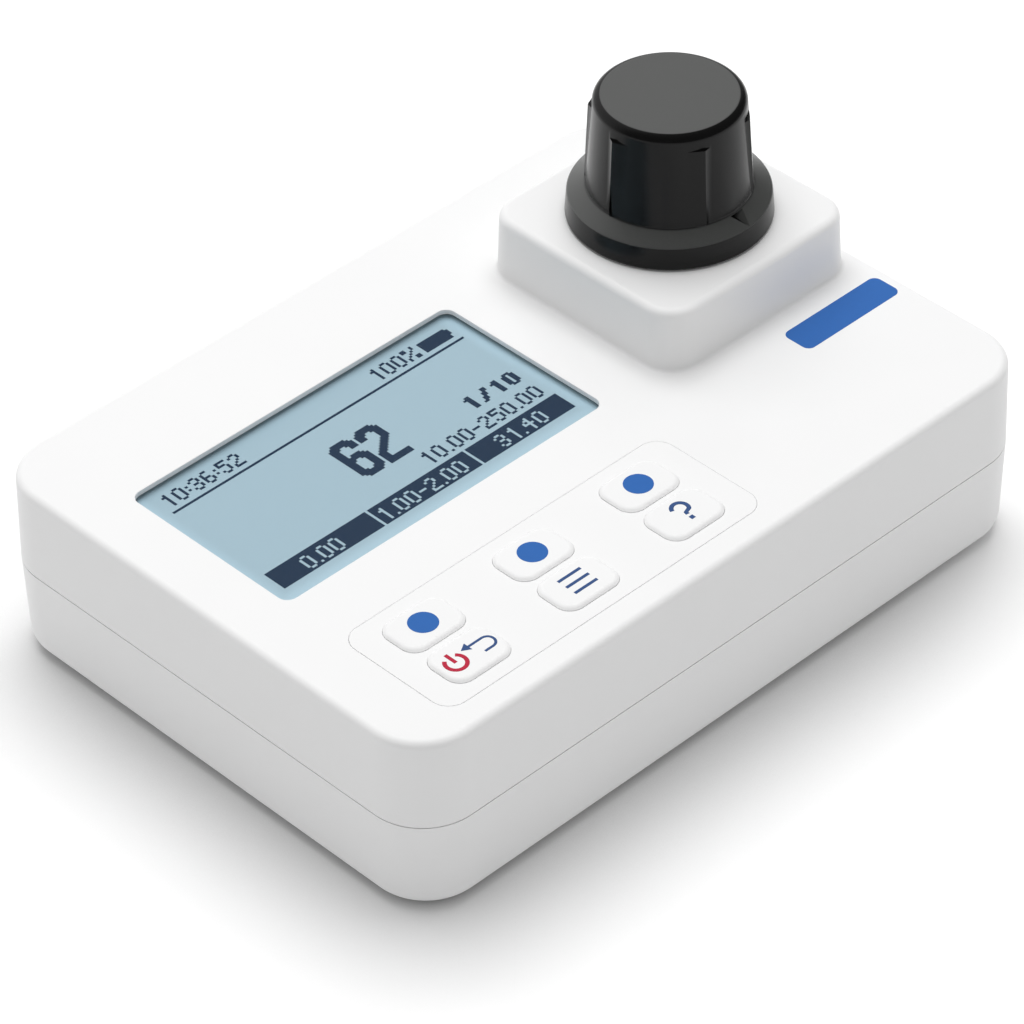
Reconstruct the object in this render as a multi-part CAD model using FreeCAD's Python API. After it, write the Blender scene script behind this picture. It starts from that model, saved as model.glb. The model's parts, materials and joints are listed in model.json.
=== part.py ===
import FreeCAD, Part
import math
import os

os.makedirs("parts", exist_ok=True)

# Portable photometer, millimetres, +Z up, X along the long side, the front side facing -Y
# The origin is the middle of the footprint, at the height of the feet's soles

# Housing
housing_width = 142.5
housing_depth = 102.5
housing_corner = 10.6
foot_proud = 0.8
parting_height = 18.4
deck_height = 35.6
upper_draft = 0.25
lower_draft = 0.4
deck_round = 1.35
base_round = 2.8
wall = 2.4
floor_thickness = 2.4
parting_gap = 0.2
seat_gap = 0.05

# Pedestal over the optical well
pedestal_side = 44.9
pedestal_margin = 2.6
pedestal_back_margin = 18.75
pedestal_corner = 5.8
pedestal_draft = 0.35
pedestal_top = 47.5
pedestal_round = 1.4

# Lip and gasket between the two shells
lip_height = 1.5
lip_thickness = 0.9
lip_clearance = 0.15
gasket_width = 0.7
gasket_height = 1.0
gasket_clearance = 0.05
gasket_inset = 0.15

# Screws that hold the shells together
housing_screw_inset = 10.75
housing_screw_radius = 1.5
housing_screw_length = 17.0
housing_screw_head_radius = 2.8
housing_screw_head_height = 2.0
housing_screw_seat = 8.0
housing_boss_radius = 4.1
boss_rib = 1.2
boss_rib_drop = 2.0
pilot_spare = 0.6
screw_clearance = 0.15
pilot_clearance = 0.04
head_clearance = 0.35

# Feet
foot_inset_x = 24.25
foot_inset_y = 10.25
foot_radius = 5.0
foot_recess = 1.0
foot_clearance = 0.1
foot_chamfer = 0.4

# Display
window_left_margin = 11.6
window_to_pedestal = 12.3
window_back_margin = 22.35
window_to_keypad = 12.15
window_corner = 2.0
window_recess = 0.3
window_lip = 0.9
window_flange = 0.6
window_rim = 2.2
window_rim_corner = 3.0
window_clearance = 0.15
glass_thickness = 1.8
glass_corner = 0.5
glass_gap = 0.15
glass_overlap_x = 1.45
glass_overlap_y = 1.65
backlight_share = 0.49
backlight_inset = 0.5
frame_wall = 2.0
frame_corner = 1.5
frame_step = 0.9
frame_floor = 1.4
frame_clearance = 0.15

# Keypad
keypad_height = 24.7
keypad_front_margin = 5.6
keypad_corner = 3.6
keypad_thickness = 1.0
keypad_clearance = 0.12
key_length = 12.6
key_height = 8.8
key_corner = 2.8
key_chamfer = 0.4
key_proud = 0.8
key_side_margin = 5.15
key_pitch_y = 10.2
key_gap = 0.15
key_deck_gap = 0.2
key_travel = 0.5
key_flange = 0.5
key_flange_thickness = 0.8
key_flange_gap = 0.1
key_stem_side = 3.4
key_stem_gap = 0.07

# Main board and what it carries
board_thickness = 1.6
board_left_margin = 5.25
board_front_margin = 4.75
board_back_margin = 12.25
board_to_well = 26.2
board_notch = 0.6
board_screw_left = 5.5
board_screw_corner = 13.0
board_screw_right = 6.0
board_screw_back = 3.4
board_screw_to_keypad = 3.75
board_screw_radius = 1.25
board_screw_length = 7.0
board_screw_head_radius = 2.3
board_screw_head_height = 1.6
board_boss_radius = 2.8
switch_side = 6.2
switch_share = 0.574
switch_button_side = 3.4
switch_button_height = 0.75
processor_side = 10.0
processor_height = 1.3
chip_size = (6.0, 5.0, 1.5)
chip_inset = 4.1
chip_back = 3.3
chip_front = 8.7
connector_size = (4.0, 10.0, 4.5)
connector_inset = 2.5
connector_front = 12.05
connector_back = 9.95
beeper_radius = 6.0
beeper_height = 4.0
beeper_inset = 11.0
beeper_front = 2.7

# Batteries: three AA cells side by side
cell_length = 49.5
cell_radius = 7.25
cell_nub_radius = 2.75
cell_nub_length = 1.0
cell_pitch = 14.75
cell_bottom = 5.95
battery_share = 0.2522
battery_y = 0.0
bay_end_gap = 3.45
bay_side_gap = 1.0
bay_roof_gap = 0.15
bay_wall = 1.6
bay_corner = 2.0
contact_thickness = 0.4
contact_width = 8.0
contact_touch = 0.05
contact_foot = 4.0
contact_bend_height = 5.4
contact_bend = 0.9
contact_slope = 0.7
contact_pad = 1.2
contact_tail = 1.4

# Battery cover: a round bayonet lid turned with a coin
cover_radius = 36.0
cover_thickness = 2.2
cover_sunk = 0.1
cover_side_gap = 0.3
cover_chamfer = 0.6
plug_radius = 34.1
plug_wall = 1.8
plug_height = 4.5
throat_gap = 0.35
lug_reach = 2.0
lug_thickness = 1.6
lug_angle = 24.0
lug_count = 3
notch_margin = 3.0
ledge_gap = 0.3
chamber_side_gap = 0.9
chamber_top_gap = 0.8
cover_turn = 40.0
coin_slot_length = 22.0
coin_slot_width = 2.4
coin_slot_depth = 1.4
coin_boss_radius = 13.0
coin_boss_height = 1.4
cover_ring_up = 0.6
cover_ring_height = 1.3
cover_ring_depth = 0.9
cover_ring_clearance = 0.06

# Cuvette and its cap
cuvette_radius = 12.3
cuvette_wall = 1.2
cuvette_floor = 1.6
cuvette_rest_gap = 0.3
cuvette_base_chamfer = 0.8
cuvette_inner_drop = 0.6
cuvette_shoulder_low = 49.0
cuvette_shoulder_high = 51.5
neck_radius = 9.9
neck_wall = 1.4
neck_top = 63.5
cap_top = 71.5
cap_chamfer = 0.9
cap_cone_top_radius = 12.95
cap_cone_base_radius = 14.25
cap_cone_base = 53.8
skirt_top = 52.1
skirt_top_radius = 17.5
skirt_radius = 17.8
skirt_wall = 1.6
skirt_rest_gap = 0.35
cap_bore_gap = 0.4
cap_bore_step = 0.9
liner_thickness = 1.4
liner_gap = 0.2
liner_side_gap = 0.3
grip_count = 3
grip_angle = 74.5
grip_top = 68.5
grip_proud_top = 0.75
grip_proud_base = 0.3
grip_root = 0.8
grip_hollow = 0.4
grip_sink = 0.2
notch_width = 3.2
notch_depth = 1.1
notch_reach = 0.3
cap_turn = 4.75

# Cell holder: the dark block with the optical well, standing on four posts
well_gap = 0.35
holder_radius = 15.0
holder_bottom = 4.2
holder_floor = 1.4
holder_top = 44.0
plate_length = 42.0
plate_depth = 28.0
plate_corner = 4.0
plate_bottom = 8.3
plate_thickness = 2.0
holder_screw_x = 17.8
holder_screw_y = 9.5
holder_screw_radius = 1.25
holder_screw_length = 6.0
holder_screw_head_radius = 2.2
holder_screw_head_height = 1.5
post_radius = 3.0
well_gasket_thickness = 1.0
well_gasket_inset = 0.2
well_hole_gap = 0.5

# Optical bench along Y through the well
beam_height = 17.0
block_width = 18.0
block_top = 25.5
source_reach = 37.0
detector_reach = 28.0
beam_radius = 2.0
lens_radius = 4.9
lens_thickness = 2.6
lens_bulge = 8.0
lens_distance = 18.0
splitter_side = 9.0
splitter_thickness = 1.0
splitter_share = 0.368
led_radius = 2.5
led_length = 7.0
led_dome = 1.6
led_rim_radius = 2.9
led_rim_height = 1.0
reference_length = 4.0
reference_inset = 0.5
collar_side = 8.0
collar_thickness = 1.5
filter_radius = 6.25
filter_thickness = 3.5
filter_distance = 18.2
detector_radius = 4.1
detector_length = 5.0
optic_gap = 0.1
bench_board_side = 16.0
bench_board_thickness = 1.6
bench_screw_radius = 1.0
bench_screw_head_radius = 1.9
bench_screw_head_height = 1.2
bench_screw_offset = 6.2
bench_cover_thickness = 1.4
bench_cover_gap = 0.3

# How far a cutting shape runs past a face, and a joined piece runs into its root
cut_past = 1.0
root = 0.5

# Places in plan that follow from the sizes above
well_x = housing_width / 2 - pedestal_margin - pedestal_side / 2
well_y = housing_depth / 2 - pedestal_back_margin - pedestal_side / 2
window_length = housing_width - window_left_margin - window_to_pedestal - pedestal_side - pedestal_margin
window_height = housing_depth - window_back_margin - window_to_keypad - keypad_height \
    - keypad_front_margin
window_x = window_left_margin + window_length / 2 - housing_width / 2
window_y = housing_depth / 2 - window_back_margin - window_height / 2
glass_length = window_length + 2 * glass_overlap_x
glass_height = window_height + 2 * glass_overlap_y
keypad_x = window_x
keypad_y = keypad_front_margin + keypad_height / 2 - housing_depth / 2
keypad_length = window_length
key_pitch_x = keypad_length / 2 - key_side_margin - key_length / 2
key_rows = (keypad_y + key_pitch_y / 2, keypad_y - key_pitch_y / 2)
key_columns = (keypad_x - key_pitch_x, keypad_x, keypad_x + key_pitch_x)
housing_screw_x = housing_width / 2 - housing_screw_inset
housing_screw_y = housing_depth / 2 - housing_screw_inset
foot_x = housing_width / 2 - foot_inset_x
foot_y = housing_depth / 2 - foot_inset_y
board_left = board_left_margin - housing_width / 2
board_right = well_x - board_to_well
board_front = board_front_margin - housing_depth / 2
board_back = housing_depth / 2 - board_back_margin
board_screw_front = keypad_y + keypad_height / 2 + board_screw_to_keypad
board_screw_places = ((board_left + board_screw_left, board_screw_front),
                      (board_left + board_screw_corner, board_back - board_screw_back),
                      (board_right - board_screw_right, board_screw_front),
                      (board_right - board_screw_right, board_back - board_screw_back))
chip_offset = key_pitch_x - chip_inset
chip_places = ((keypad_x - chip_offset, keypad_y + chip_back),
               (keypad_x + chip_offset, keypad_y + chip_back), (keypad_x, keypad_y - chip_front))
connector_places = ((board_right - connector_inset, window_y - connector_front),
                    (board_right - connector_inset, window_y + connector_back))
beeper_place = (board_right - beeper_inset, keypad_y - beeper_front)
chamber_radius = plug_radius + lug_reach + chamber_side_gap
battery_left = wall - housing_width / 2
battery_room = well_x - plate_length / 2 - battery_left - 2 * (chamber_radius + bay_wall)
battery_x = battery_left + chamber_radius + bay_wall + battery_share * battery_room
splitter_distance = lens_distance + splitter_share * (source_reach - lens_distance)

# Levels that follow from the sizes above
base_level = foot_proud
floor_top = base_level + floor_thickness
deck_under = deck_height - wall
bay_roof = cell_bottom + 2 * cell_radius + bay_roof_gap
glass_top = deck_height - window_lip - window_flange - glass_gap
display_bottom = glass_top - glass_thickness - frame_floor - 3 * seat_gap
display_room = display_bottom - board_thickness - bay_roof - bay_wall
backlight_thickness = backlight_share * display_room
board_top = display_bottom - backlight_thickness
board_bottom = board_top - board_thickness
keypad_bottom = deck_height - keypad_thickness
flange_top = deck_under - key_flange_gap
flange_low = flange_top - key_flange_thickness
switch_body_height = switch_share * (flange_low - board_top)
well_radius = cuvette_radius + well_gap
cuvette_bottom = holder_bottom + holder_floor + cuvette_rest_gap
skirt_bottom = pedestal_top + skirt_rest_gap
throat_radius = plug_radius + throat_gap
cover_inner = base_level + cover_sunk + cover_thickness
plug_top = cover_inner + plug_height
lug_bottom = plug_top - lug_thickness
ledge_top = lug_bottom - ledge_gap
chamber_top = plug_top + chamber_top_gap
bay_length = cell_length + cell_nub_length + 2 * bay_end_gap
bay_depth = 2 * cell_pitch + 2 * cell_radius + 2 * bay_side_gap


def vec(x, y, z):
    return FreeCAD.Vector(x, y, z)


def rounded_wire(width, depth, radius, z, x=0.0, y=0.0):
    """Rectangle with rounded corners, anticlockwise from its right side."""
    edges = []
    ends = []
    for quarter, (side_x, side_y) in enumerate(((1, 1), (-1, 1), (-1, -1), (1, -1))):
        centre_x = x + side_x * (width / 2 - radius)
        centre_y = y + side_y * (depth / 2 - radius)
        arc = []
        for step in (0, 45, 90):
            turn = math.radians(90 * quarter + step)
            arc.append(vec(centre_x + radius * math.cos(turn), centre_y + radius * math.sin(turn), z))
        if ends:
            edges.append(Part.LineSegment(ends[-1], arc[0]).toShape())
        edges.append(Part.Arc(*arc).toShape())
        ends += [arc[0], arc[2]]
    edges.append(Part.LineSegment(ends[-1], ends[0]).toShape())
    return Part.Wire(edges)


def rounded_block(width, depth, radius, z0, z1, x=0.0, y=0.0):
    return Part.Face(rounded_wire(width, depth, radius, z0, x, y)).extrude(vec(0, 0, z1 - z0))


def drafted_block(low, high, x=0.0, y=0.0):
    """Block between two outlines, each given as width, depth, corner radius and height."""
    return Part.makeLoft([rounded_wire(*low, x, y), rounded_wire(*high, x, y)], True, True)


def block(x0, x1, y0, y1, z0, z1):
    return Part.makeBox(x1 - x0, y1 - y0, z1 - z0, vec(x0, y0, z0))


def middle_block(length, depth, z0, z1, x, y):
    return block(x - length / 2, x + length / 2, y - depth / 2, y + depth / 2, z0, z1)


def rod(radius, z0, z1, x=0.0, y=0.0):
    return Part.makeCylinder(radius, z1 - z0, vec(x, y, z0))


def rod_y(radius, y0, y1, x, z):
    return Part.makeCylinder(radius, y1 - y0, vec(x, y0, z), vec(0, 1, 0))


def rod_x(radius, x0, x1, y, z):
    return Part.makeCylinder(radius, x1 - x0, vec(x0, y, z), vec(1, 0, 0))


def ring(outer, inner, z0, z1, x=0.0, y=0.0):
    return rod(outer, z0, z1, x, y).cut(rod(inner, z0 - cut_past, z1 + cut_past, x, y))


def polygon(points):
    return Part.Face(Part.makePolygon(points + points[:1]))


def turned(profile, x=0.0, y=0.0):
    """Solid of revolution about a vertical axis from radius and height pairs."""
    face = polygon([vec(x + radius, y, z) for radius, z in profile])
    return face.revolve(vec(x, y, 0), vec(0, 0, 1), 360)


def sector(outer, inner, z0, z1, middle, width, x=0.0, y=0.0):
    """Part of a ring, width degrees wide about the direction called middle."""
    piece = Part.makeCylinder(outer, z1 - z0, vec(0, 0, z0), vec(0, 0, 1), width)
    piece = piece.cut(rod(inner, z0 - cut_past, z1 + cut_past))
    piece.rotate(vec(0, 0, 0), vec(0, 0, 1), middle - width / 2)
    piece.translate(vec(x, y, 0))
    return piece


def strip_profile(points, thickness):
    """Outline of a bent strip, from the points of its middle line."""
    left = []
    right = []
    for index, (across, up) in enumerate(points):
        before = points[max(index - 1, 0)]
        after = points[min(index + 1, len(points) - 1)]
        run = math.hypot(after[0] - before[0], after[1] - before[1])
        offset_across = -(after[1] - before[1]) / run * thickness / 2
        offset_up = (after[0] - before[0]) / run * thickness / 2
        left.append((across + offset_across, up + offset_up))
        right.append((across - offset_across, up - offset_up))
    return left + right[::-1]


def edges_at(shape, z):
    """Edges that lie wholly at height z."""
    box_ends = [(edge, edge.BoundBox.ZMin, edge.BoundBox.ZMax) for edge in shape.Edges]
    return [edge for edge, low, high in box_ends if abs(low - z) < 0.01 and abs(high - z) < 0.01]


def four(x, y):
    return [(side_x * x, side_y * y) for side_x in (-1, 1) for side_y in (-1, 1)]


def save(name, *solids):
    shape = solids[0] if len(solids) == 1 else Part.makeCompound(list(solids))
    shape.exportStep("parts/" + name + ".step")


def shell_outline(level):
    """Width, depth, corner radius and height of the housing's outer face at a level."""
    if level >= parting_height:
        inset = upper_draft * (level - parting_height) / (deck_height - parting_height)
    else:
        inset = lower_draft * (parting_height - level) / (parting_height - base_level)
    return (housing_width - 2 * inset, housing_depth - 2 * inset, housing_corner - inset, level)


def inner_outline(level, thickness=wall):
    width, depth, corner, _ = shell_outline(level)
    return (width - 2 * thickness, depth - 2 * thickness, corner - thickness, level)


def lip_block(z0, z1, thickness):
    """Block whose side stands the given thickness outside the shells' inner face."""
    width, depth, corner, _ = inner_outline(parting_height)
    return rounded_block(width + 2 * thickness, depth + 2 * thickness, corner + thickness, z0, z1)


def gasket_ring(clearance, z0, z1):
    """Ring that runs round the top of the lower wall, outside the lip."""
    width, depth, corner, _ = inner_outline(parting_height)
    outer = lip_thickness + gasket_inset + gasket_width + clearance
    inner = lip_thickness + gasket_inset - clearance
    ring_outer = rounded_block(width + 2 * outer, depth + 2 * outer, corner + outer, z0, z1)
    ring_inner = rounded_block(width + 2 * inner, depth + 2 * inner, corner + inner, z0 - cut_past,
                               z1 + cut_past)
    return ring_outer.cut(ring_inner)


def boss_ribs(x, y, z0, z1):
    """Two ribs from a corner boss to the walls beside it."""
    width, depth, _, _ = inner_outline(parting_height)
    side_x = math.copysign(1, x)
    side_y = math.copysign(1, y)
    to_side = sorted((x, side_x * (width / 2 + wall / 3)))
    to_end = sorted((y, side_y * (depth / 2 + wall / 3)))
    rib_x = block(to_side[0], to_side[1], y - boss_rib / 2, y + boss_rib / 2, z0, z1)
    rib_y = block(x - boss_rib / 2, x + boss_rib / 2, to_end[0], to_end[1], z0, z1)
    return rib_x.fuse(rib_y)


def pedestal_outline(level, thickness=0.0):
    inset = pedestal_draft * (level - deck_height) / (pedestal_top - deck_height) + thickness
    side = pedestal_side - 2 * inset
    return (side, side, pedestal_corner - inset, level)


def make_upper_housing():
    low = parting_height + parting_gap / 2
    shell = drafted_block(shell_outline(low), shell_outline(deck_height))
    shell = shell.makeFillet(deck_round, edges_at(shell, deck_height))
    pedestal = drafted_block(pedestal_outline(deck_under), pedestal_outline(pedestal_top), well_x, well_y)
    pedestal = pedestal.makeFillet(pedestal_round, edges_at(pedestal, pedestal_top))
    room = drafted_block(inner_outline(low - cut_past), inner_outline(deck_under))
    pedestal_room = drafted_block(pedestal_outline(deck_under - cut_past, wall),
                                  pedestal_outline(pedestal_top - wall, wall), well_x, well_y)
    shell = shell.fuse(pedestal).cut(room.fuse(pedestal_room))
    rebate = lip_block(low - cut_past, low + lip_height + lip_clearance, lip_thickness + lip_clearance)
    bosses = []
    for x, y in four(housing_screw_x, housing_screw_y):
        bosses.append(rod(housing_boss_radius, low, deck_under + root, x, y))
        bosses.append(boss_ribs(x, y, low + lip_height + boss_rib_drop, deck_under + root))
    for x, y in board_screw_places:
        bosses.append(rod(board_boss_radius, board_top + seat_gap, deck_under + root, x, y))
    shell = shell.cut(rebate).fuse(bosses)
    cuts = []
    cuts.append(rounded_block(window_length, window_height, window_corner,
                              deck_under - cut_past, deck_height + cut_past, window_x, window_y))
    rim = window_rim + window_clearance
    cuts.append(rounded_block(window_length + 2 * rim, window_height + 2 * rim, window_rim_corner,
                              deck_under - cut_past, deck_height - window_lip, window_x, window_y))
    cuts.append(rounded_block(keypad_length + 2 * keypad_clearance, keypad_height + 2 * keypad_clearance,
                              keypad_corner + keypad_clearance, keypad_bottom - seat_gap,
                              deck_height + cut_past, keypad_x, keypad_y))
    for x in key_columns:
        for y in key_rows:
            cuts.append(rounded_block(key_length + 2 * key_deck_gap, key_height + 2 * key_deck_gap,
                                      key_corner + key_deck_gap, deck_under - cut_past, deck_height,
                                      x, y))
    cuts.append(rod(cuvette_radius + well_hole_gap, deck_height, pedestal_top + cut_past, well_x, well_y))
    for x, y in four(housing_screw_x, housing_screw_y):
        pilot = housing_screw_radius + pilot_clearance
        cuts.append(rod(pilot, low - cut_past, housing_screw_seat + housing_screw_length + pilot_spare,
                        x, y))
    for x, y in board_screw_places:
        cuts.append(rod(board_screw_radius + pilot_clearance, board_top - cut_past,
                        board_bottom + board_screw_length + pilot_spare, x, y))
    shell = shell.cut(cuts)
    save("upper_housing", shell.removeSplitter())


def make_lower_housing():
    high = parting_height - parting_gap / 2
    shell = drafted_block(shell_outline(base_level), shell_outline(high))
    shell = shell.makeFillet(base_round, edges_at(shell, base_level))
    room = drafted_block(inner_outline(floor_top), inner_outline(high + lip_height + cut_past))
    lip = lip_block(high - cut_past, high + lip_height, lip_thickness)
    shell = shell.fuse(lip).cut(room)
    shell = shell.cut(gasket_ring(gasket_clearance, high - gasket_height, high + gasket_clearance))
    solids = []
    for x, y in four(housing_screw_x, housing_screw_y):
        solids.append(rod(housing_boss_radius, floor_top - root, high, x, y))
        solids.append(boss_ribs(x, y, floor_top - root, high - gasket_height - boss_rib_drop))
    for x, y in four(holder_screw_x, holder_screw_y):
        solids.append(rod(post_radius, floor_top - root, plate_bottom - seat_gap, well_x + x, well_y + y))
    solids.append(rod(chamber_radius + bay_wall, base_level, chamber_top + bay_wall, battery_x, battery_y))
    solids.append(rounded_block(bay_length + 2 * bay_wall, bay_depth + 2 * bay_wall, bay_corner + bay_wall,
                                chamber_top, bay_roof + bay_wall, battery_x, battery_y))
    shell = shell.fuse(solids)
    cuts = []
    for x, y in four(housing_screw_x, housing_screw_y):
        cuts.append(rod(housing_screw_radius + screw_clearance, base_level, high + cut_past, x, y))
        cuts.append(rod(housing_screw_head_radius + head_clearance, base_level - cut_past,
                        housing_screw_seat, x, y))
    for x, y in four(foot_x, foot_y):
        cuts.append(rod(foot_radius + foot_clearance, base_level - cut_past, base_level + foot_recess, x, y))
    for x, y in four(holder_screw_x, holder_screw_y):
        cuts.append(rod(holder_screw_radius + pilot_clearance,
                        plate_bottom + plate_thickness - holder_screw_length - pilot_spare,
                        plate_bottom + cut_past, well_x + x, well_y + y))
    cuts.append(rod(cover_radius + cover_side_gap, base_level - cut_past, cover_inner + ledge_gap / 2,
                    battery_x, battery_y))
    cuts.append(rod(throat_radius, base_level, ledge_top + cut_past, battery_x, battery_y))
    cuts.append(rod(chamber_radius, ledge_top, chamber_top, battery_x, battery_y))
    cuts.append(rounded_block(bay_length, bay_depth, bay_corner, chamber_top - cut_past, bay_roof,
                              battery_x, battery_y))
    for index in range(lug_count):
        middle = 90 + index * 360 / lug_count - cover_turn
        cuts.append(sector(plug_radius + lug_reach + ledge_gap, plug_radius, cover_inner, ledge_top + root,
                           middle, lug_angle + 2 * notch_margin, battery_x, battery_y))
    shell = shell.cut(cuts)
    save("lower_housing", shell.removeSplitter())


def make_housing_small_parts():
    high = parting_height - parting_gap / 2
    save("housing_gasket", gasket_ring(0, high - gasket_height + gasket_clearance, high + parting_gap / 2))
    screws = []
    for x, y in four(housing_screw_x, housing_screw_y):
        head = rod(housing_screw_head_radius, housing_screw_seat - housing_screw_head_height,
                   housing_screw_seat, x, y)
        shank = rod(housing_screw_radius, housing_screw_seat - root,
                    housing_screw_seat + housing_screw_length, x, y)
        screws.append(head.fuse(shank).removeSplitter())
    save("housing_screws", *screws)
    feet = []
    for x, y in four(foot_x, foot_y):
        foot = rod(foot_radius, 0, base_level + foot_recess - gasket_clearance, x, y)
        feet.append(foot.makeChamfer(foot_chamfer, edges_at(foot, 0)))
    save("rubber_feet", *feet)


def make_battery_cover():
    low = base_level + cover_sunk
    cover = rod(cover_radius, low, cover_inner, battery_x, battery_y)
    cover = cover.makeChamfer(cover_chamfer, edges_at(cover, low))
    cover = cover.fuse(ring(plug_radius, plug_radius - plug_wall, cover_inner - root, plug_top,
                            battery_x, battery_y))
    cover = cover.fuse(rod(coin_boss_radius, cover_inner - root, cover_inner + coin_boss_height,
                           battery_x, battery_y))
    for index in range(lug_count):
        middle = 90 + index * 360 / lug_count
        cover = cover.fuse(sector(plug_radius + lug_reach, plug_radius - root, lug_bottom, plug_top,
                                  middle, lug_angle, battery_x, battery_y))
    coin_slot = block(battery_x - coin_slot_length / 2, battery_x + coin_slot_length / 2,
                      battery_y - coin_slot_width / 2, battery_y + coin_slot_width / 2,
                      low - cut_past, low + coin_slot_depth)
    ring_low = cover_inner + cover_ring_up
    groove = ring(plug_radius + cut_past, plug_radius - cover_ring_depth, ring_low,
                  ring_low + cover_ring_height, battery_x, battery_y)
    save("battery_cover", cover.cut(coin_slot).cut(groove).removeSplitter())
    seal = ring(throat_radius - cover_ring_clearance, plug_radius - cover_ring_depth + cover_ring_clearance,
                ring_low + cover_ring_clearance, ring_low + cover_ring_height - cover_ring_clearance,
                battery_x, battery_y)
    save("battery_cover_seal", seal)


def make_batteries():
    axis_height = cell_bottom + cell_radius
    overall = cell_length + cell_nub_length
    contacts = []
    for index in range(3):
        y = battery_y + (index - 1) * cell_pitch
        facing = -1 if index == 1 else 1
        left = battery_x - overall / 2
        body_start = left if facing > 0 else left + cell_nub_length
        cell = rod_x(cell_radius, body_start, body_start + cell_length, y, axis_height)
        nub_start = left + cell_length - root if facing > 0 else left
        nub = rod_x(cell_nub_radius, nub_start, nub_start + cell_nub_length + root, y, axis_height)
        cell = cell.fuse(nub)
        save("battery_cell_" + str(index + 1), cell.removeSplitter())
        for side in (-1, 1):
            back = bay_length / 2 - contact_thickness / 2 - contact_touch
            front = overall / 2 + contact_touch + contact_thickness / 2
            bend = axis_height + contact_bend_height
            line = [(back, axis_height - contact_foot), (back, bend - contact_bend),
                    (back - contact_bend, bend), (front + contact_slope, axis_height + contact_foot / 2),
                    (front, axis_height + contact_pad / 2), (front, axis_height - contact_pad / 2),
                    (front + contact_tail, axis_height - contact_foot)]
            outline = strip_profile(line, contact_thickness)
            face = polygon([vec(battery_x + side * across, y - contact_width / 2, up)
                            for across, up in outline])
            contacts.append(face.extrude(vec(0, contact_width, 0)))
    save("battery_contacts", *contacts)


def make_display():
    lip_low = deck_height - window_lip
    pane = rounded_block(window_length + 2 * window_rim, window_height + 2 * window_rim,
                         window_rim_corner - window_clearance, lip_low - window_flange,
                         lip_low - seat_gap, window_x, window_y)
    raised = rounded_block(window_length - 2 * window_clearance, window_height - 2 * window_clearance,
                           window_corner - window_clearance, lip_low - root,
                           deck_height - window_recess, window_x, window_y)
    save("display_window", pane.fuse(raised).removeSplitter())
    glass_low = glass_top - glass_thickness
    save("display_glass", rounded_block(glass_length, glass_height, glass_corner, glass_low, glass_top,
                                        window_x, window_y))
    light_low = glass_low - seat_gap - backlight_thickness
    save("display_backlight", rounded_block(glass_length - 2 * backlight_inset,
                                            glass_height - 2 * backlight_inset, glass_corner, light_low,
                                            glass_low - seat_gap, window_x, window_y))
    frame_low = light_low - seat_gap - frame_floor
    pocket_length = glass_length + 2 * frame_clearance
    pocket_height = glass_height + 2 * frame_clearance
    tray = rounded_block(pocket_length + 2 * frame_wall, pocket_height + 2 * frame_wall, frame_corner,
                         frame_low, glass_top - frame_step, window_x, window_y)
    tray = tray.cut(rounded_block(pocket_length, pocket_height, glass_corner, frame_low + frame_floor,
                                  glass_top + cut_past, window_x, window_y))
    save("display_frame", tray)


def make_keypad():
    pad = rounded_block(keypad_length, keypad_height, keypad_corner, keypad_bottom, deck_height,
                        keypad_x, keypad_y)
    names = (("key_left", "key_middle", "key_right"), ("key_power", "key_menu", "key_help"))
    key_top = deck_height + key_proud
    stem_low = board_top + switch_body_height + switch_button_height + key_travel + key_stem_gap
    switches = []
    for y, row in zip(key_rows, names):
        for x, name in zip(key_columns, row):
            pad = pad.cut(rounded_block(key_length + 2 * key_gap, key_height + 2 * key_gap,
                                        key_corner + key_gap, keypad_bottom - cut_past,
                                        deck_height + cut_past, x, y))
            key = rounded_block(key_length, key_height, key_corner, flange_top, key_top, x, y)
            key = key.makeChamfer(key_chamfer, edges_at(key, key_top))
            flange = middle_block(key_length + 2 * key_flange, key_height + 2 * key_flange,
                                  flange_low, flange_top, x, y)
            stem = middle_block(key_stem_side, key_stem_side, stem_low, flange_low, x, y)
            save(name, key.fuse(flange).fuse(stem).removeSplitter())
            body_top = board_top + switch_body_height
            body = middle_block(switch_side, switch_side, board_top, body_top, x, y)
            button = middle_block(switch_button_side, switch_button_side, body_top,
                                  body_top + switch_button_height, x, y)
            switches.append(body.fuse(button).removeSplitter())
    save("keypad_overlay", pad)
    save("tact_switches", *switches)


def make_main_board():
    board = block(board_left, board_right, board_front, board_back, board_bottom, board_top)
    for x, y in four(housing_screw_x, housing_screw_y):
        board = board.cut(rod(housing_boss_radius + board_notch, board_bottom - cut_past,
                              board_top + cut_past, x, y))
    notch = boss_rib / 2 + board_notch
    board = board.cut(block(board_left - cut_past, notch - housing_screw_x, board_front - cut_past,
                            notch - housing_screw_y, board_bottom - cut_past, board_top + cut_past))
    for x, y in board_screw_places:
        board = board.cut(rod(board_screw_radius + screw_clearance, board_bottom - cut_past,
                              board_top + cut_past, x, y))
    save("main_board", board)
    screws = []
    for x, y in board_screw_places:
        head = rod(board_screw_head_radius, board_bottom - board_screw_head_height,
                   board_bottom - seat_gap, x, y)
        shank = rod(board_screw_radius, board_bottom - root, board_bottom + board_screw_length, x, y)
        screws.append(head.fuse(shank).removeSplitter())
    save("board_screws", *screws)
    under = board_bottom - seat_gap
    save("processor", middle_block(processor_side, processor_side, board_bottom - processor_height, under,
                                   keypad_x, keypad_y))
    for name, size, places in (("board_chips", chip_size, chip_places),
                               ("board_connectors", connector_size, connector_places)):
        length, depth, height = size
        save(name, *[middle_block(length, depth, board_bottom - height, under, x, y) for x, y in places])
    save("beeper", rod(beeper_radius, board_bottom - beeper_height, under, *beeper_place))


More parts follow.
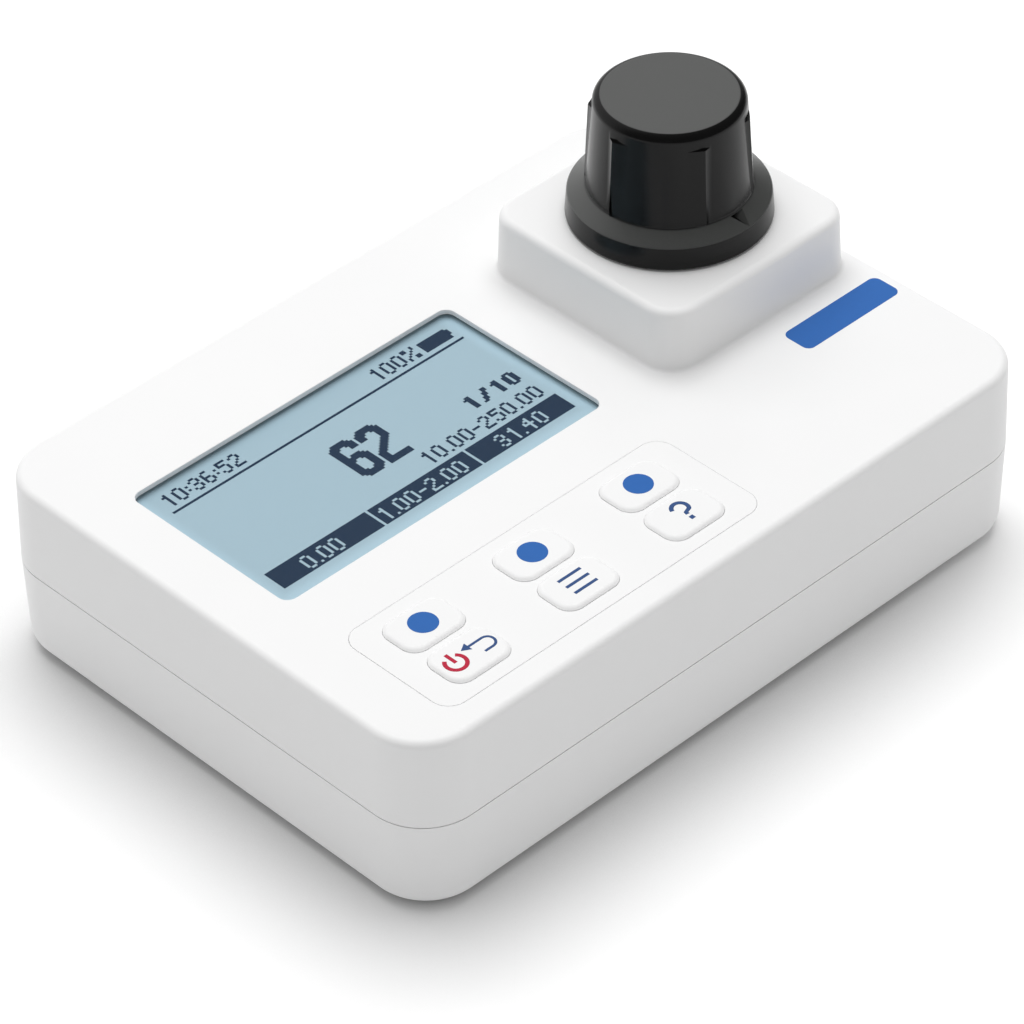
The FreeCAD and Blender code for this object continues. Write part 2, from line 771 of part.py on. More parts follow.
def make_cell_holder():
    half = block_width / 2
    holder = rod(holder_radius, holder_bottom, holder_top, well_x, well_y)
    holder = holder.fuse(rounded_block(plate_length, plate_depth, plate_corner, plate_bottom,
                                       plate_bottom + plate_thickness, well_x, well_y))
    holder = holder.fuse(block(well_x - half, well_x + half, well_y - source_reach, well_y,
                               plate_bottom, block_top))
    holder = holder.fuse(block(well_x - half, well_x + half, well_y, well_y + detector_reach,
                               plate_bottom, block_top))
    cuts = [rod(well_radius, holder_bottom + holder_floor, holder_top + cut_past, well_x, well_y)]
    cuts.append(rod_y(beam_radius, well_y - source_reach, well_y + detector_reach,
                      well_x, beam_height))
    lens_half = lens_thickness / 2 + optic_gap
    lens_side = lens_radius + optic_gap
    cuts.append(block(well_x - lens_side, well_x + lens_side, well_y - lens_distance - lens_half,
                      well_y - lens_distance + lens_half, beam_height - lens_side,
                      block_top + cut_past))
    room = (splitter_side + splitter_thickness) / math.sqrt(2) / 2 + optic_gap
    cuts.append(block(well_x - room, well_x + room, well_y - splitter_distance - room,
                      well_y - splitter_distance + room, beam_height - splitter_side / 2 - optic_gap,
                      block_top + cut_past))
    start = well_y - source_reach
    cuts.append(rod_y(led_radius + optic_gap, start - cut_past, start + led_length + optic_gap,
                      well_x, beam_height))
    cuts.append(rod_y(led_rim_radius + optic_gap, start - cut_past, start + led_rim_height + optic_gap,
                      well_x, beam_height))
    cuts.append(rod_x(led_radius + optic_gap, well_x - half - cut_past, well_x - room + cut_past,
                      well_y - splitter_distance, beam_height))
    filter_half = filter_thickness / 2 + optic_gap
    filter_side = filter_radius + optic_gap
    cuts.append(block(well_x - filter_side, well_x + filter_side, well_y + filter_distance - filter_half,
                      well_y + filter_distance + filter_half, beam_height - filter_side,
                      block_top + cut_past))
    cuts.append(rod_y(detector_radius + optic_gap, well_y + detector_reach - detector_length - optic_gap,
                      well_y + detector_reach + cut_past, well_x, beam_height))
    for x, y in four(holder_screw_x, holder_screw_y):
        cuts.append(rod(holder_screw_radius + screw_clearance, plate_bottom - cut_past,
                        plate_bottom + plate_thickness + cut_past, well_x + x, well_y + y))
    save("cell_holder", holder.cut(cuts).removeSplitter())
    screws = []
    seat = plate_bottom + plate_thickness
    for x, y in four(holder_screw_x, holder_screw_y):
        head = rod(holder_screw_head_radius, seat + seat_gap, seat + holder_screw_head_height,
                   well_x + x, well_y + y)
        shank = rod(holder_screw_radius, seat - holder_screw_length, seat + root, well_x + x, well_y + y)
        screws.append(head.fuse(shank).removeSplitter())
    save("cell_holder_screws", *screws)
    save("well_gasket", ring(holder_radius - well_gasket_inset, well_radius + well_gasket_inset,
                             holder_top + seat_gap, holder_top + seat_gap + well_gasket_thickness,
                             well_x, well_y))


def make_optics():
    half = block_width / 2
    centre = well_y - lens_distance
    half_lens = lens_thickness / 2
    bulge = Part.makeSphere(lens_bulge, vec(well_x, centre + half_lens - lens_bulge, beam_height))
    bound = rod_y(lens_radius, centre - half_lens, centre + half_lens, well_x, beam_height)
    save("focusing_lens", bulge.common(bound))
    side = splitter_side / 2
    plate = block(-side, side, -splitter_thickness / 2, splitter_thickness / 2, -side, side)
    plate.rotate(vec(0, 0, 0), vec(0, 0, 1), 45)
    plate.translate(vec(well_x, well_y - splitter_distance, beam_height))
    save("beam_splitter", plate)
    start = well_y - source_reach
    led = rod_y(led_radius, start, start + led_length, well_x, beam_height)
    tip = [edge for edge in led.Edges if abs(edge.BoundBox.YMin - start - led_length) < 0.01]
    led = led.makeChamfer(led_dome, tip)
    led = led.fuse(rod_y(led_rim_radius, start, start + led_rim_height, well_x, beam_height))
    save("source_led", led.removeSplitter())
    x_face = well_x - half
    eye_y = well_y - splitter_distance
    eye = rod_x(led_radius, x_face - reference_inset, x_face - reference_inset + reference_length,
                eye_y, beam_height)
    side = collar_side / 2
    collar = block(x_face - optic_gap - collar_thickness, x_face - optic_gap, eye_y - side, eye_y + side,
                   beam_height - side, beam_height + side)
    save("reference_detector", eye.fuse(collar).removeSplitter())
    save("interference_filter", rod_y(filter_radius, well_y + filter_distance - filter_thickness / 2,
                                      well_y + filter_distance + filter_thickness / 2, well_x, beam_height))
    end = well_y + detector_reach
    save("photodetector", rod_y(detector_radius, end - detector_length, end, well_x, beam_height))
    side = bench_board_side / 2
    boards = (("source_board", start - optic_gap - bench_board_thickness, start - optic_gap),
              ("detector_board", end + optic_gap, end + optic_gap + bench_board_thickness))
    screws = []
    for name, y0, y1 in boards:
        board = block(well_x - side, well_x + side, y0, y1, beam_height - side, beam_height + side)
        outward = -1 if name == "source_board" else 1
        face = y0 if outward < 0 else y1
        for x, z in four(bench_screw_offset, bench_screw_offset):
            if x * z < 0:
                continue
            board = board.cut(rod_y(bench_screw_radius + screw_clearance, y0 - cut_past, y1 + cut_past,
                                    well_x + x, beam_height + z))
            head_ends = sorted((face + outward * seat_gap, face + outward * bench_screw_head_height))
            shank_ends = sorted((face + outward * root, face - outward * (bench_board_thickness + seat_gap)))
            head = rod_y(bench_screw_head_radius, *head_ends, well_x + x, beam_height + z)
            shank = rod_y(bench_screw_radius, *shank_ends, well_x + x, beam_height + z)
            screws.append(head.fuse(shank).removeSplitter())
        save(name, board)
    save("bench_board_screws", *screws)
    low = block_top + seat_gap
    high = low + bench_cover_thickness
    lids = []
    reach = holder_radius + bench_cover_gap
    for y0, y1 in ((start, well_y - reach), (well_y + reach, end)):
        lids.append(block(well_x - half, well_x + half, y0, y1, low, high))
    save("bench_covers", *lids)


def make_cuvette():
    body_inner = cuvette_radius - cuvette_wall
    neck_inner = neck_radius - neck_wall
    profile = [(0, cuvette_bottom), (cuvette_radius, cuvette_bottom),
               (cuvette_radius, cuvette_shoulder_low), (neck_radius, cuvette_shoulder_high),
               (neck_radius, neck_top), (neck_inner, neck_top),
               (neck_inner, cuvette_shoulder_low - cuvette_inner_drop),
               (body_inner, cuvette_shoulder_low - cuvette_inner_drop),
               (body_inner, cuvette_bottom + cuvette_floor), (0, cuvette_bottom + cuvette_floor)]
    glass = turned(profile, well_x, well_y)
    glass = glass.makeChamfer(cuvette_base_chamfer, edges_at(glass, cuvette_bottom))
    save("cuvette", glass)


def make_cap():
    bore = neck_radius + cap_bore_gap
    liner_low = neck_top + liner_gap
    ceiling = liner_low + liner_thickness + seat_gap
    skirt_inner = skirt_radius - skirt_wall
    clear = cuvette_radius + cap_bore_gap
    profile = [(0, cap_top), (cap_cone_top_radius, cap_top), (cap_cone_base_radius, cap_cone_base),
               (skirt_top_radius, skirt_top), (skirt_radius, skirt_bottom), (skirt_inner, skirt_bottom),
               (skirt_inner, skirt_top - skirt_wall), (clear, skirt_top - cap_bore_step / 2),
               (bore, cuvette_shoulder_high + cap_bore_step), (bore, ceiling), (0, ceiling)]
    cap = turned(profile)
    cap = cap.makeChamfer(cap_chamfer, edges_at(cap, cap_top))

    def cone_radius(z):
        share = (z - cap_cone_base) / (cap_top - cap_cone_base)
        return cap_cone_base_radius + share * (cap_cone_top_radius - cap_cone_base_radius)

    def grip_wire(z, proud):
        half = math.radians(grip_angle / 2)
        middle = vec(cone_radius(z) - grip_hollow, 0, z)
        edge = cone_radius(z) + proud
        left = vec(edge * math.cos(half), edge * math.sin(half), z)
        right = vec(edge * math.cos(half), -edge * math.sin(half), z)
        root = cone_radius(z) - grip_root
        root_left = vec(root * math.cos(half), root * math.sin(half), z)
        root_right = vec(root * math.cos(half), -root * math.sin(half), z)
        return Part.Wire([Part.Arc(right, middle, left).toShape(),
                          Part.LineSegment(left, root_left).toShape(),
                          Part.Arc(root_left, vec(root, 0, z), root_right).toShape(),
                          Part.LineSegment(root_right, right).toShape()])

    grip = Part.makeLoft([grip_wire(cap_cone_base - grip_sink, grip_proud_base),
                          grip_wire(grip_top, grip_proud_top)], True, True)
    for index in range(grip_count):
        copy = grip.copy()
        copy.rotate(vec(0, 0, 0), vec(0, 0, 1), (index + 0.5) * 360 / grip_count)
        cap = cap.fuse(copy)
    start = cap_cone_base_radius - root
    end = skirt_top_radius + notch_reach
    fall = (cap_cone_base - skirt_top) / (skirt_top_radius - cap_cone_base_radius)
    high = cap_cone_base + cut_past
    pointer = polygon([vec(start, -notch_width / 2, high), vec(start, notch_width / 2, high),
                       vec(end, 0, high)])
    pointer = pointer.extrude(vec(0, 0, skirt_bottom - high))
    ramp = polygon([vec(start, -notch_width, cap_cone_base - notch_depth + fall * root),
                    vec(end, -notch_width, skirt_top - notch_depth - fall * notch_reach),
                    vec(end, -notch_width, high), vec(start, -notch_width, high)])
    cap = cap.cut(pointer.common(ramp.extrude(vec(0, 2 * notch_width, 0))))
    cap.rotate(vec(0, 0, 0), vec(0, 0, 1), cap_turn - 90)
    cap.translate(vec(well_x, well_y, 0))
    save("cuvette_cap", cap.removeSplitter())
    save("cap_liner", rod(bore - liner_side_gap, liner_low, liner_low + liner_thickness, well_x, well_y))


make_upper_housing()
make_lower_housing()
make_housing_small_parts()
make_battery_cover()
make_batteries()
make_display()
make_keypad()
make_main_board()
make_cell_holder()
make_optics()
make_cuvette()
make_cap()
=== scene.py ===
import json
import math

import bpy
from mathutils import Matrix, Vector


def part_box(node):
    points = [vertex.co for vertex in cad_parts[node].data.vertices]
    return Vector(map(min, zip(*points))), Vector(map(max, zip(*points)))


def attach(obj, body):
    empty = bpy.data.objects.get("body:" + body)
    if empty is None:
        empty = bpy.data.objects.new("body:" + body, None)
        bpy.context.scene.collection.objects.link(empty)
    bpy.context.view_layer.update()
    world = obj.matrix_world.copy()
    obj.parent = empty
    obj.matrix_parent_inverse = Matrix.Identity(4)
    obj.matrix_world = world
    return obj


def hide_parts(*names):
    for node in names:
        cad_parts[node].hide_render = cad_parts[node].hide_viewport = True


bl_info = {
    "name": "Portable photometer",
    "version": (1, 0, 0),
    "blender": (4, 5, 0),
    "location": "3D View > Sidebar > Photometer",
    "description": "Finishes the pieces of a portable photometer around its packed frame",
    "category": "Object",
}

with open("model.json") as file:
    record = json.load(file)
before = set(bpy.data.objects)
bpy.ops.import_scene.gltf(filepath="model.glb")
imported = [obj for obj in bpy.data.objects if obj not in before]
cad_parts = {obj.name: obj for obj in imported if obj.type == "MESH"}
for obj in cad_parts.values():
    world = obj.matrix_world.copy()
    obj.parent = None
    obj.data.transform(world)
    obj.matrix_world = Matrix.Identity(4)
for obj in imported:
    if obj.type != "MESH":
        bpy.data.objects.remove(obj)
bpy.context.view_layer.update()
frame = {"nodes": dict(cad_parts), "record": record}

# Lengths in the properties are metres, and MM turns the millimetres below into them
MM = 0.001

# Places and levels that come from the frame
CASE_LOW, CASE_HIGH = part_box("lower_housing")
UPPER_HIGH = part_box("upper_housing")[1]
PAD_LOW, PAD_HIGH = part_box("keypad_overlay")
PANE_LOW, PANE_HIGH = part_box("display_window")
GLASS_LOW, GLASS_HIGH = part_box("display_glass")
CUVETTE_LOW, CUVETTE_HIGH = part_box("cuvette")
CAP_LOW, CAP_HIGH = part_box("cuvette_cap")
DECK = PAD_HIGH.z
WELL = (CUVETTE_LOW + CUVETTE_HIGH) / 2
PAD = (PAD_LOW + PAD_HIGH) / 2
PANE = (PANE_LOW + PANE_HIGH) / 2
KEYS = ("key_left", "key_middle", "key_right", "key_power", "key_menu", "key_help")

# The two halves of the case
PARTING = 18.4 * MM
PARTING_GAP = 0.2 * MM
WALL = 2.4 * MM
UPPER_DRAFT = 0.25 * MM
LOWER_DRAFT = 0.4 * MM
PAST = 1.0 * MM

# The pedestal over the well
PEDESTAL_SIDE = 44.9 * MM
PEDESTAL_CORNER = 5.8 * MM
PEDESTAL_DRAFT = 0.35 * MM
WELL_HOLE = 12.8 * MM
WELL_RIM_ROUND = 0.3 * MM
FLARE_SINK = 0.1 * MM

# Window, keypad and keys
WINDOW_LENGTH = 71.1 * MM
WINDOW_HEIGHT = 37.7 * MM
WINDOW_CORNER = 2.0 * MM
WINDOW_LIP = 0.9 * MM
WINDOW_GAP = 0.08 * MM
PANE_SEAT_GAP = 0.15 * MM
PANE_SEAT_CORNER = 3.0 * MM
PANE_CORNER = 2.85 * MM
PANE_SINK = 0.05 * MM
PANE_OVERLAP = 0.3 * MM
PANE_ROUND = 0.1 * MM
GLASS_CORNER = 0.5 * MM
PAD_CLEARANCE = 0.04 * MM
PAD_CORNER = 3.6 * MM
PAD_SEAT_DROP = 0.05 * MM
KEY_FLANGE = 0.5 * MM
KEY_STEM = 1.8 * MM
KEY_CORNER = 2.8 * MM
KEY_GAP = 0.15 * MM
KEY_FULLER = 0.1 * MM
KEY_FOOT = 0.1 * MM
KEY_SLOPE = 0.45 * MM
KEY_LOWER = 0.25 * MM
KEY_DECK_GAP = 0.2 * MM
DOT_BACK = 0.2 * MM
PRINT = 0.03 * MM
LABEL_SIDES = (22.9 * MM, 6.2 * MM)
LABEL_CORNER = 1.45 * MM
LABEL_PLACE = (57.05 * MM, -20.1 * MM)

# Places of the signs on the keys; strokes take millimetres
POWER_SIGN = (-51.2, -38.55)
RETURN_BEND = (-44.35, -38.52)
RETURN_HEAD = (-47.75 * MM, -37.15 * MM)
RETURN_HEAD_SIDES = (1.05 * MM, 1.1 * MM)
MENU_SIGN = (-24.0, -38.1)
MENU_PITCH = 1.9 * MM
HELP_SIGN = (0.25, -37.2)
HELP_DOT = (0.1, -40.05)

# Underside
BOSS_X = 60.5 * MM
BOSS_Y = 40.5 * MM
BOSS_RADIUS = 4.1 * MM
SINK_RADIUS = 3.15 * MM
SCREW_SEAT = 8.0 * MM
SHANK_HOLE = 1.65 * MM
FOOT_X = 47.0 * MM
FOOT_Y = 41.0 * MM
FOOT_RADIUS = 5.0 * MM
FOOT_RECESS = 1.0 * MM
FOOT_GAP = 0.1 * MM
FOOT_ROUND = 0.4 * MM
FOOT_TREAD = FOOT_RADIUS - 1.4 * MM
FOOT_DISH = 0.15 * MM
COVER_X = -26.0 * MM
COVER_RECESS_RADIUS = 36.3 * MM
COVER_RECESS = 2.45 * MM
THROAT_RADIUS = 34.45 * MM

# The cap, and the cuvette under it: radii from the well's axis, heights above the table, and the
# cap's turn and its grips in degrees
CONE_BASE = 14.25 * MM
CONE_TOP = 12.95 * MM
CONE_FOOT = 53.8 * MM
SKIRT = 17.8 * MM
SKIRT_RIM = 17.5 * MM
SKIRT_RIM_LEVEL = 52.1 * MM
SKIRT_WALL = 1.6 * MM
CAP_BORE = 10.3 * MM
CAP_CEILING = 65.15 * MM
CAP_TURN = 4.75
GRIPS = 3
FIRST_GRIP = -150.0
GRIP_WIDTH = 69.5
GRIP_TOP = 68.5 * MM
GRIP_SINK = 0.2 * MM
GRIP_PROUD = (0.25 * MM, 0.6 * MM)
GRIP_HOLLOW = 0.4 * MM
GRIP_CREST = 0.5 * MM
GRIP_HEART = 3.0 * MM
GRIP_FLANK = math.radians(30.0)
CREST_STEPS = 5
POINTER_RADIUS = 1.6 * MM
POINTER_START = CONE_BASE + 0.3 * MM
POINTER_END = SKIRT_RIM + 0.1 * MM
POINTER_SINK = 0.1 * MM
POINTER_END_SINK = 0.02 * MM
CUVETTE_RADIUS = 12.3 * MM
CUVETTE_WALL = 1.2 * MM
NECK_RADIUS = 9.9 * MM
NECK_WALL = 1.4 * MM
LIP = 0.3 * MM
SHOULDER = 49.0 * MM

# Where the cap's matte grain and its painted sheen start and end: its top disc, its skirt's face
# and the groove in it. The grey painted on these zones is a painted sheen of the bright studio.
DISC_EDGE = (11.6 * MM, 11.9 * MM)
DISC_DEPTH = (CAP_HIGH.z - 0.5 * MM, CAP_HIGH.z - 0.2 * MM)
SKIRT_TOP = (53.6 * MM, 53.9 * MM)
SKIRT_SLOPE = 0.523
SKIRT_FACE = (61.05 * MM, 61.15 * MM)
# The groove is painted grey on one side only; its other side stays black as painted shade
GROOVE_LIT_SIDE = (1.3 * MM, 1.4 * MM)
GROOVE_END = (17.2 * MM, 17.3 * MM)

# The display's dots: 128 by 64, measured on the glass
DOT_COLUMNS = 128
DOT_ROWS = 64
DOT_LEFT = -56.27 * MM
DOT_FRONT = -4.48 * MM
DOT_WIDTH = 65.36 * MM
DOT_DEPTH = 31.46 * MM

# The paler bands along the display's edges, measured inwards from the window's edge
SIDE_BAND = (3.2 * MM, 0.6 * MM)
FRONT_BAND = (1.8 * MM, 4.0 * MM)

# Each sign's rows of dots, from the top
SIGNS = {
    "0": ".##. #..# #..# #..# #..# #..# .##.",
    "1": "..#. .##. ..#. ..#. ..#. ..#. ..#.",
    "2": ".##. #..# ...# ..#. .#.. #... ####",
    "3": ".##. #..# ...# .##. ...# #..# .##.",
    "4": "..#. .##. #.#. #### ..#. ..#. ..#.",
    "5": "#### #... ###. ...# ...# #..# .##.",
    "6": ".##. #... #... ###. #..# #..# .##.",
    ":": ". . # . # . .",
    ".": ". . . . . . #",
    "-": "... ... ... ### ... ... ...",
    "/": "...# ...# ..#. ..#. .#.. .#.. #...",
    "%": "##..# ##..# ...#. ..#.. .#... #..## #..##",
}
LARGE_SIGNS = {
    "6": (
        "..######.. .########. ########## ####..#### ###....### ###....### ###....... "
        "###....... ###.####.. #########. ########## ####..#### ###....### ###....### "
        "###....### ###....### ###....### ####..#### ########## .########. ..######.."
    ),
    "2": (
        "..######.. .########. ########## ####..#### ###....### ###....### .......### "
        ".......### ......#### .....####. ....####.. ...####... ..####.... .####..... "
        "####...... ###....... ###....... ###....... ########## ########## ##########"
    ),
}

# Plastics of the pieces inside: name, colour, roughness, fineness and depth of grain in millimetres
PLASTICS = (
    ("cell_jacket", (0.03, 0.10, 0.28), 0.35, 1500.0, 0.01),
    ("board_green", (0.02, 0.14, 0.06), 0.35, 1200.0, 0.02),
    ("chip_black", (0.02, 0.02, 0.02), 0.5, 4000.0, 0.02),
    ("connector_white", (0.72, 0.70, 0.62), 0.45, 2500.0, 0.01),
    ("holder_black", (0.012, 0.012, 0.012), 0.6, 3500.0, 0.03),
    ("frame_black", (0.02, 0.02, 0.02), 0.5, 3000.0, 0.02),
    ("liner_white", (0.75, 0.74, 0.70), 0.7, 2500.0, 0.05),
    ("backlight_white", (0.80, 0.82, 0.84), 0.4, 2500.0, 0.01),
)

# Camera fitted to the photograph: turn about Z, height above the horizon and tilt, in degrees
VIEW_TURN = -43.641
VIEW_HEIGHT = 39.594
VIEW_TILT = -1.175
VIEW_DISTANCE = 0.8547
VIEW_TARGET = (-5.895 * MM, -4.382 * MM, 20.0 * MM)
VIEW_LENS = 180.98
VIEW_SENSOR = 36.0
VIEW_CLIP = (0.01, 20.0)

# Floor, world and lamp: the shade near the case fades from the middle to the right
FLOOR_SIDE = 8.0
FLOOR_GREY = 0.84
FLOOR_GLOW = 0.04
FLOOR_SHEEN = 0.2
SHADE_REACH = 0.035
SHADE_DEPTH = 0.45
SHADE_DEPTH_RIGHT = 0.08
SHADE_FADE = (25.0 * MM, 75.0 * MM)
WORLD_LIGHT = 0.6
BRIGHT_SIDE = (0.05, 0.999, 0.0)
BRIGHT_REACH = (0.2, 0.75)
DARK_SIDE_SHINE = 0.08
# Each lamp's name, place, side and power
LAMPS = (("overhead", (0.3, 0.42, 1.54), 1.4, 20.5),)


class PhotometerSizes(bpy.types.PropertyGroup):
    """Sizes of the photometer's finished surfaces."""

    def length(label, text, millimetres):
        return bpy.props.FloatProperty(
            name=label, description=text, default=millimetres * MM, unit="LENGTH", precision=5
        )

    case_corner: length("Case corner", "Radius of the case's upright corners", 10.6)
    deck_round: length("Deck rounding", "Radius between the deck and the walls", 1.35)
    base_round: length("Base rounding", "Radius between the walls and the underside", 2.8)
    pedestal_round: length("Pedestal rounding", "Radius round the pedestal's top", 1.4)
    pedestal_foot: length("Pedestal foot", "Radius where the pedestal meets the deck", 0.6)
    rim_round: length("Rim rounding", "Rounding of the edges of the openings", 0.15)
    pad_round: length("Keypad rounding", "Rounding of the edges of the keypad's plate", 0.06)
    key_round: length("Key rounding", "Rounding of the tops of the keys", 0.35)
    cap_round: length("Cap rounding", "Radius round the top of the cap", 1.5)
    dot_radius: length("Key dot", "Radius of the dots on the keys", 2.54)


class PhotometerColours(bpy.types.PropertyGroup):
    """Colours of the photometer's finishes."""

    def colour(label, text, red, green, blue):
        return bpy.props.FloatVectorProperty(
            name=label, description=text, default=(red, green, blue), subtype="COLOR",
            size=3, min=0.0, max=1.0,
        )

    case: colour("Case", "White plastic of the case and keypad", 0.905, 0.905, 0.905)
    blue: colour("Blue print", "Dots and label on the deck", 0.036, 0.145, 0.455)
    navy: colour("Navy print", "Signs on the keys", 0.045, 0.095, 0.245)
    red: colour("Red print", "Power sign", 0.515, 0.026, 0.060)
    display: colour("Display", "Unlit liquid crystal", 0.375, 0.525, 0.610)
    dots: colour("Display dots", "Dark liquid crystal", 0.014, 0.032, 0.070)
    cap: colour("Cap", "Black plastic of the cap", 0.005, 0.005, 0.005)


def colours():
    return bpy.context.scene.photometer_colours


def sizes():
    return bpy.context.scene.photometer_sizes


# Mesh tools


def deselect():
    """Leaves edit mode and selects nothing, so that the next operator acts on its own piece."""
    if bpy.context.mode != "OBJECT":
        bpy.ops.object.mode_set(mode="OBJECT")
    bpy.ops.object.select_all(action="DESELECT")


def activate(piece):
    """Selects one piece alone and makes it the active one."""
    deselect()
    piece.select_set(True)
    bpy.context.view_layer.objects.active = piece


def settle(name):
    """Names the new object and puts its place and size into its mesh."""
    piece = bpy.context.active_object
    piece.name = name
    piece.data.name = name
    activate(piece)
    bpy.ops.object.transform_apply(location=True, rotation=True, scale=True)
    return piece


def cube(name, low, high):
    """Box between two corners."""
    deselect()
    low, high = Vector(low), Vector(high)
    bpy.ops.mesh.primitive_cube_add(size=1, location=(low + high) / 2, scale=high - low)
    return settle(name)


def edit():
    bpy.ops.object.mode_set(mode="EDIT")


def done():
    bpy.ops.object.mode_set(mode="OBJECT")


def pick(piece, kind, test):
    """Opens a piece for editing, with only what passes the test selected.

    The test gets a vertex's place, an edge's two ends, or a face's centre and normal. An edge
    between two faces of one plane never passes.
    """
    activate(piece)
    edit()
    bpy.ops.mesh.select_mode(type=kind)
    bpy.ops.mesh.select_all(action="DESELECT")
    done()
    mesh = piece.data
    if kind == "VERT":
        for vertex in mesh.vertices:
            vertex.select = test(vertex.co)
    elif kind == "EDGE":
        normals = {}
        for face in mesh.polygons:
            for key in face.edge_keys:
                normals.setdefault(key, []).append(face.normal)
        for edge in mesh.edges:
            sides = normals.get(edge.key, [])
            bends = len(sides) == 2 and sides[0].dot(sides[1]) < 0.9999
            edge.select = bends and test(*[mesh.vertices[index].co for index in edge.vertices])
    else:
        for face in mesh.polygons:
            face.select = test(face.center, face.normal)
    edit()


def select_everything():
    bpy.ops.mesh.select_all(action="SELECT")


def face_outwards():
    """Turns every face of the open piece outwards, and ends the editing."""
    select_everything()
    bpy.ops.mesh.normals_make_consistent(inside=False)
    done()


def shrink(ratio_x, ratio_y, centre):
    """Scales what is selected in plan, about a point."""
    bpy.ops.transform.resize(value=(ratio_x, ratio_y, 1), center_override=centre)


def draw_up(rise):
    """Extrudes the selected faces upwards, or downwards for a negative rise."""
    bpy.ops.mesh.extrude_region_move(TRANSFORM_OT_translate={"value": (0, 0, rise)})


def bevel(piece, test, radius, segments):
    """Rounds the edges that pass the test."""
    pick(piece, "EDGE", test)
    bpy.ops.mesh.bevel(offset=radius, offset_type="OFFSET", segments=segments, profile=0.5,
                       affect="EDGES", clamp_overlap=False)
    done()


def close(first, second):
    return abs(first - second) < 0.02 * MM


def upright(a, b):
    """Whether an edge climbs: its ends differ in height far more than in plan."""
    return abs(a.z - b.z) > 5 * math.hypot(a.x - b.x, a.y - b.y)


def at_level(z):
    """Test for the edges that lie at one height."""
    return lambda a, b: close(a.z, z) and close(b.z, z)


def rounded_block(name, length, depth, corner, z0, z1, x=0.0, y=0.0, draft=0.0, wide_low=True,
                  segments=12):
    """Block with upright rounded corners, centred at x and y, one end smaller by the draft."""
    block = cube(name, (x - length / 2, y - depth / 2, z0), (x + length / 2, y + depth / 2, z1))
    if draft:
        small_end = z1 if wide_low else z0
        pick(block, "VERT", lambda point: close(point.z, small_end))
        shrink(1 - 2 * draft / length, 1 - 2 * draft / depth, (x, y, small_end))
        done()
    bevel(block, upright, corner, segments)
    return block


def block_over(name, low, high, grow, corner, z0, z1, segments=12):
    """Rounded block over a box of the frame, wider by grow on each side."""
    middle = (low + high) / 2
    return rounded_block(name, high.x - low.x + 2 * grow, high.y - low.y + 2 * grow, corner, z0,
                         z1, middle.x, middle.y, segments=segments)


def combine(piece, other, operation):
    """Adds the other piece to the first or cuts it out, and uses it up."""
    activate(piece)
    bpy.ops.object.modifier_add(type="BOOLEAN")
    modifier = piece.modifiers[-1]
    modifier.operation = operation
    modifier.solver = "EXACT"
    modifier.object = other
    bpy.ops.object.modifier_apply(modifier=modifier.name)
    bpy.data.objects.remove(other)


def cut(piece, other):
    combine(piece, other, "DIFFERENCE")


def rod(name, radius, z0, z1, x, y, vertices=64):
    """Upright cylinder between two heights."""
    deselect()
    bpy.ops.mesh.primitive_cylinder_add(vertices=vertices, radius=radius, depth=z1 - z0,
                                        location=(x, y, (z0 + z1) / 2))
    return settle(name)


def turned(name, profile, x, y, vertices):
    """Turned piece: a disc drawn out from one radius and height to the next."""
    deselect()
    radius, z = profile[0]
    bpy.ops.mesh.primitive_circle_add(vertices=vertices, radius=radius, location=(x, y, z))
    piece = settle(name)
    edit()
    bpy.ops.mesh.select_all(action="SELECT")
    bpy.ops.mesh.edge_face_add()
    for next_radius, next_z in profile[1:]:
        draw_up(next_z - z)
        shrink(next_radius / radius, next_radius / radius, (x, y, next_z))
        radius, z = next_radius, next_z
    face_outwards()
    return piece


def close_ends(piece):
    """Fills any open ring of a turned piece."""
    activate(piece)
    edit()
    bpy.ops.mesh.select_mode(type="EDGE")
    bpy.ops.mesh.select_all(action="DESELECT")
    bpy.ops.mesh.select_non_manifold()
    bpy.ops.mesh.edge_face_add()
    done()


def arc(x, y, radius, start, end, steps):
    """Pairs along an arc, as radius and height or as X and Y, its angles in degrees."""
    angles = [math.radians(start + (end - start) * step / steps) for step in range(steps + 1)]
    return [(x + radius * math.cos(angle), y + radius * math.sin(angle)) for angle in angles]


def copied(piece, name, turn=0.0, offset=(0.0, 0.0, 0.0)):
    """A copy with its own mesh, turned by an angle about the well's axis and then moved."""
    activate(piece)
    bpy.ops.object.duplicate(linked=False)
    axis = Matrix.Translation((WELL.x, WELL.y, 0.0))
    spun = axis @ Matrix.Rotation(turn, 4, "Z") @ axis.inverted()
    bpy.context.active_object.matrix_world = Matrix.Translation(offset) @ spun
    return settle(name)


def join(name, pieces):
    """Makes one piece of several."""
    activate(pieces[0])
    for piece in pieces:
        piece.select_set(True)
    bpy.ops.object.join()
    pieces[0].name = name
    pieces[0].data.name = name
    return pieces[0]


def smooth(piece, angle=32.0):
    """Shades a piece smoothly up to an angle, and keeps its flat faces flat."""
    activate(piece)
    edit()
    face_outwards()
    bpy.ops.object.shade_smooth_by_angle(angle=math.radians(angle))
    bpy.ops.object.modifier_add(type="WEIGHTED_NORMAL")
    modifier = piece.modifiers[-1]
    modifier.keep_sharp = True
    modifier.weight = 100
    bpy.ops.object.modifier_apply(modifier=modifier.name)


def place(piece, body, slot, material, *nodes):
    """Gives a finished piece its material and body, and the nodes that it stands for; slot is not
    used.
    """
    piece.data.materials.clear()
    piece.data.materials.append(material)
    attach(piece, body)
    if nodes:
        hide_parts(*nodes)
    deselect()


# Shapes that several pieces share, and the display's dots


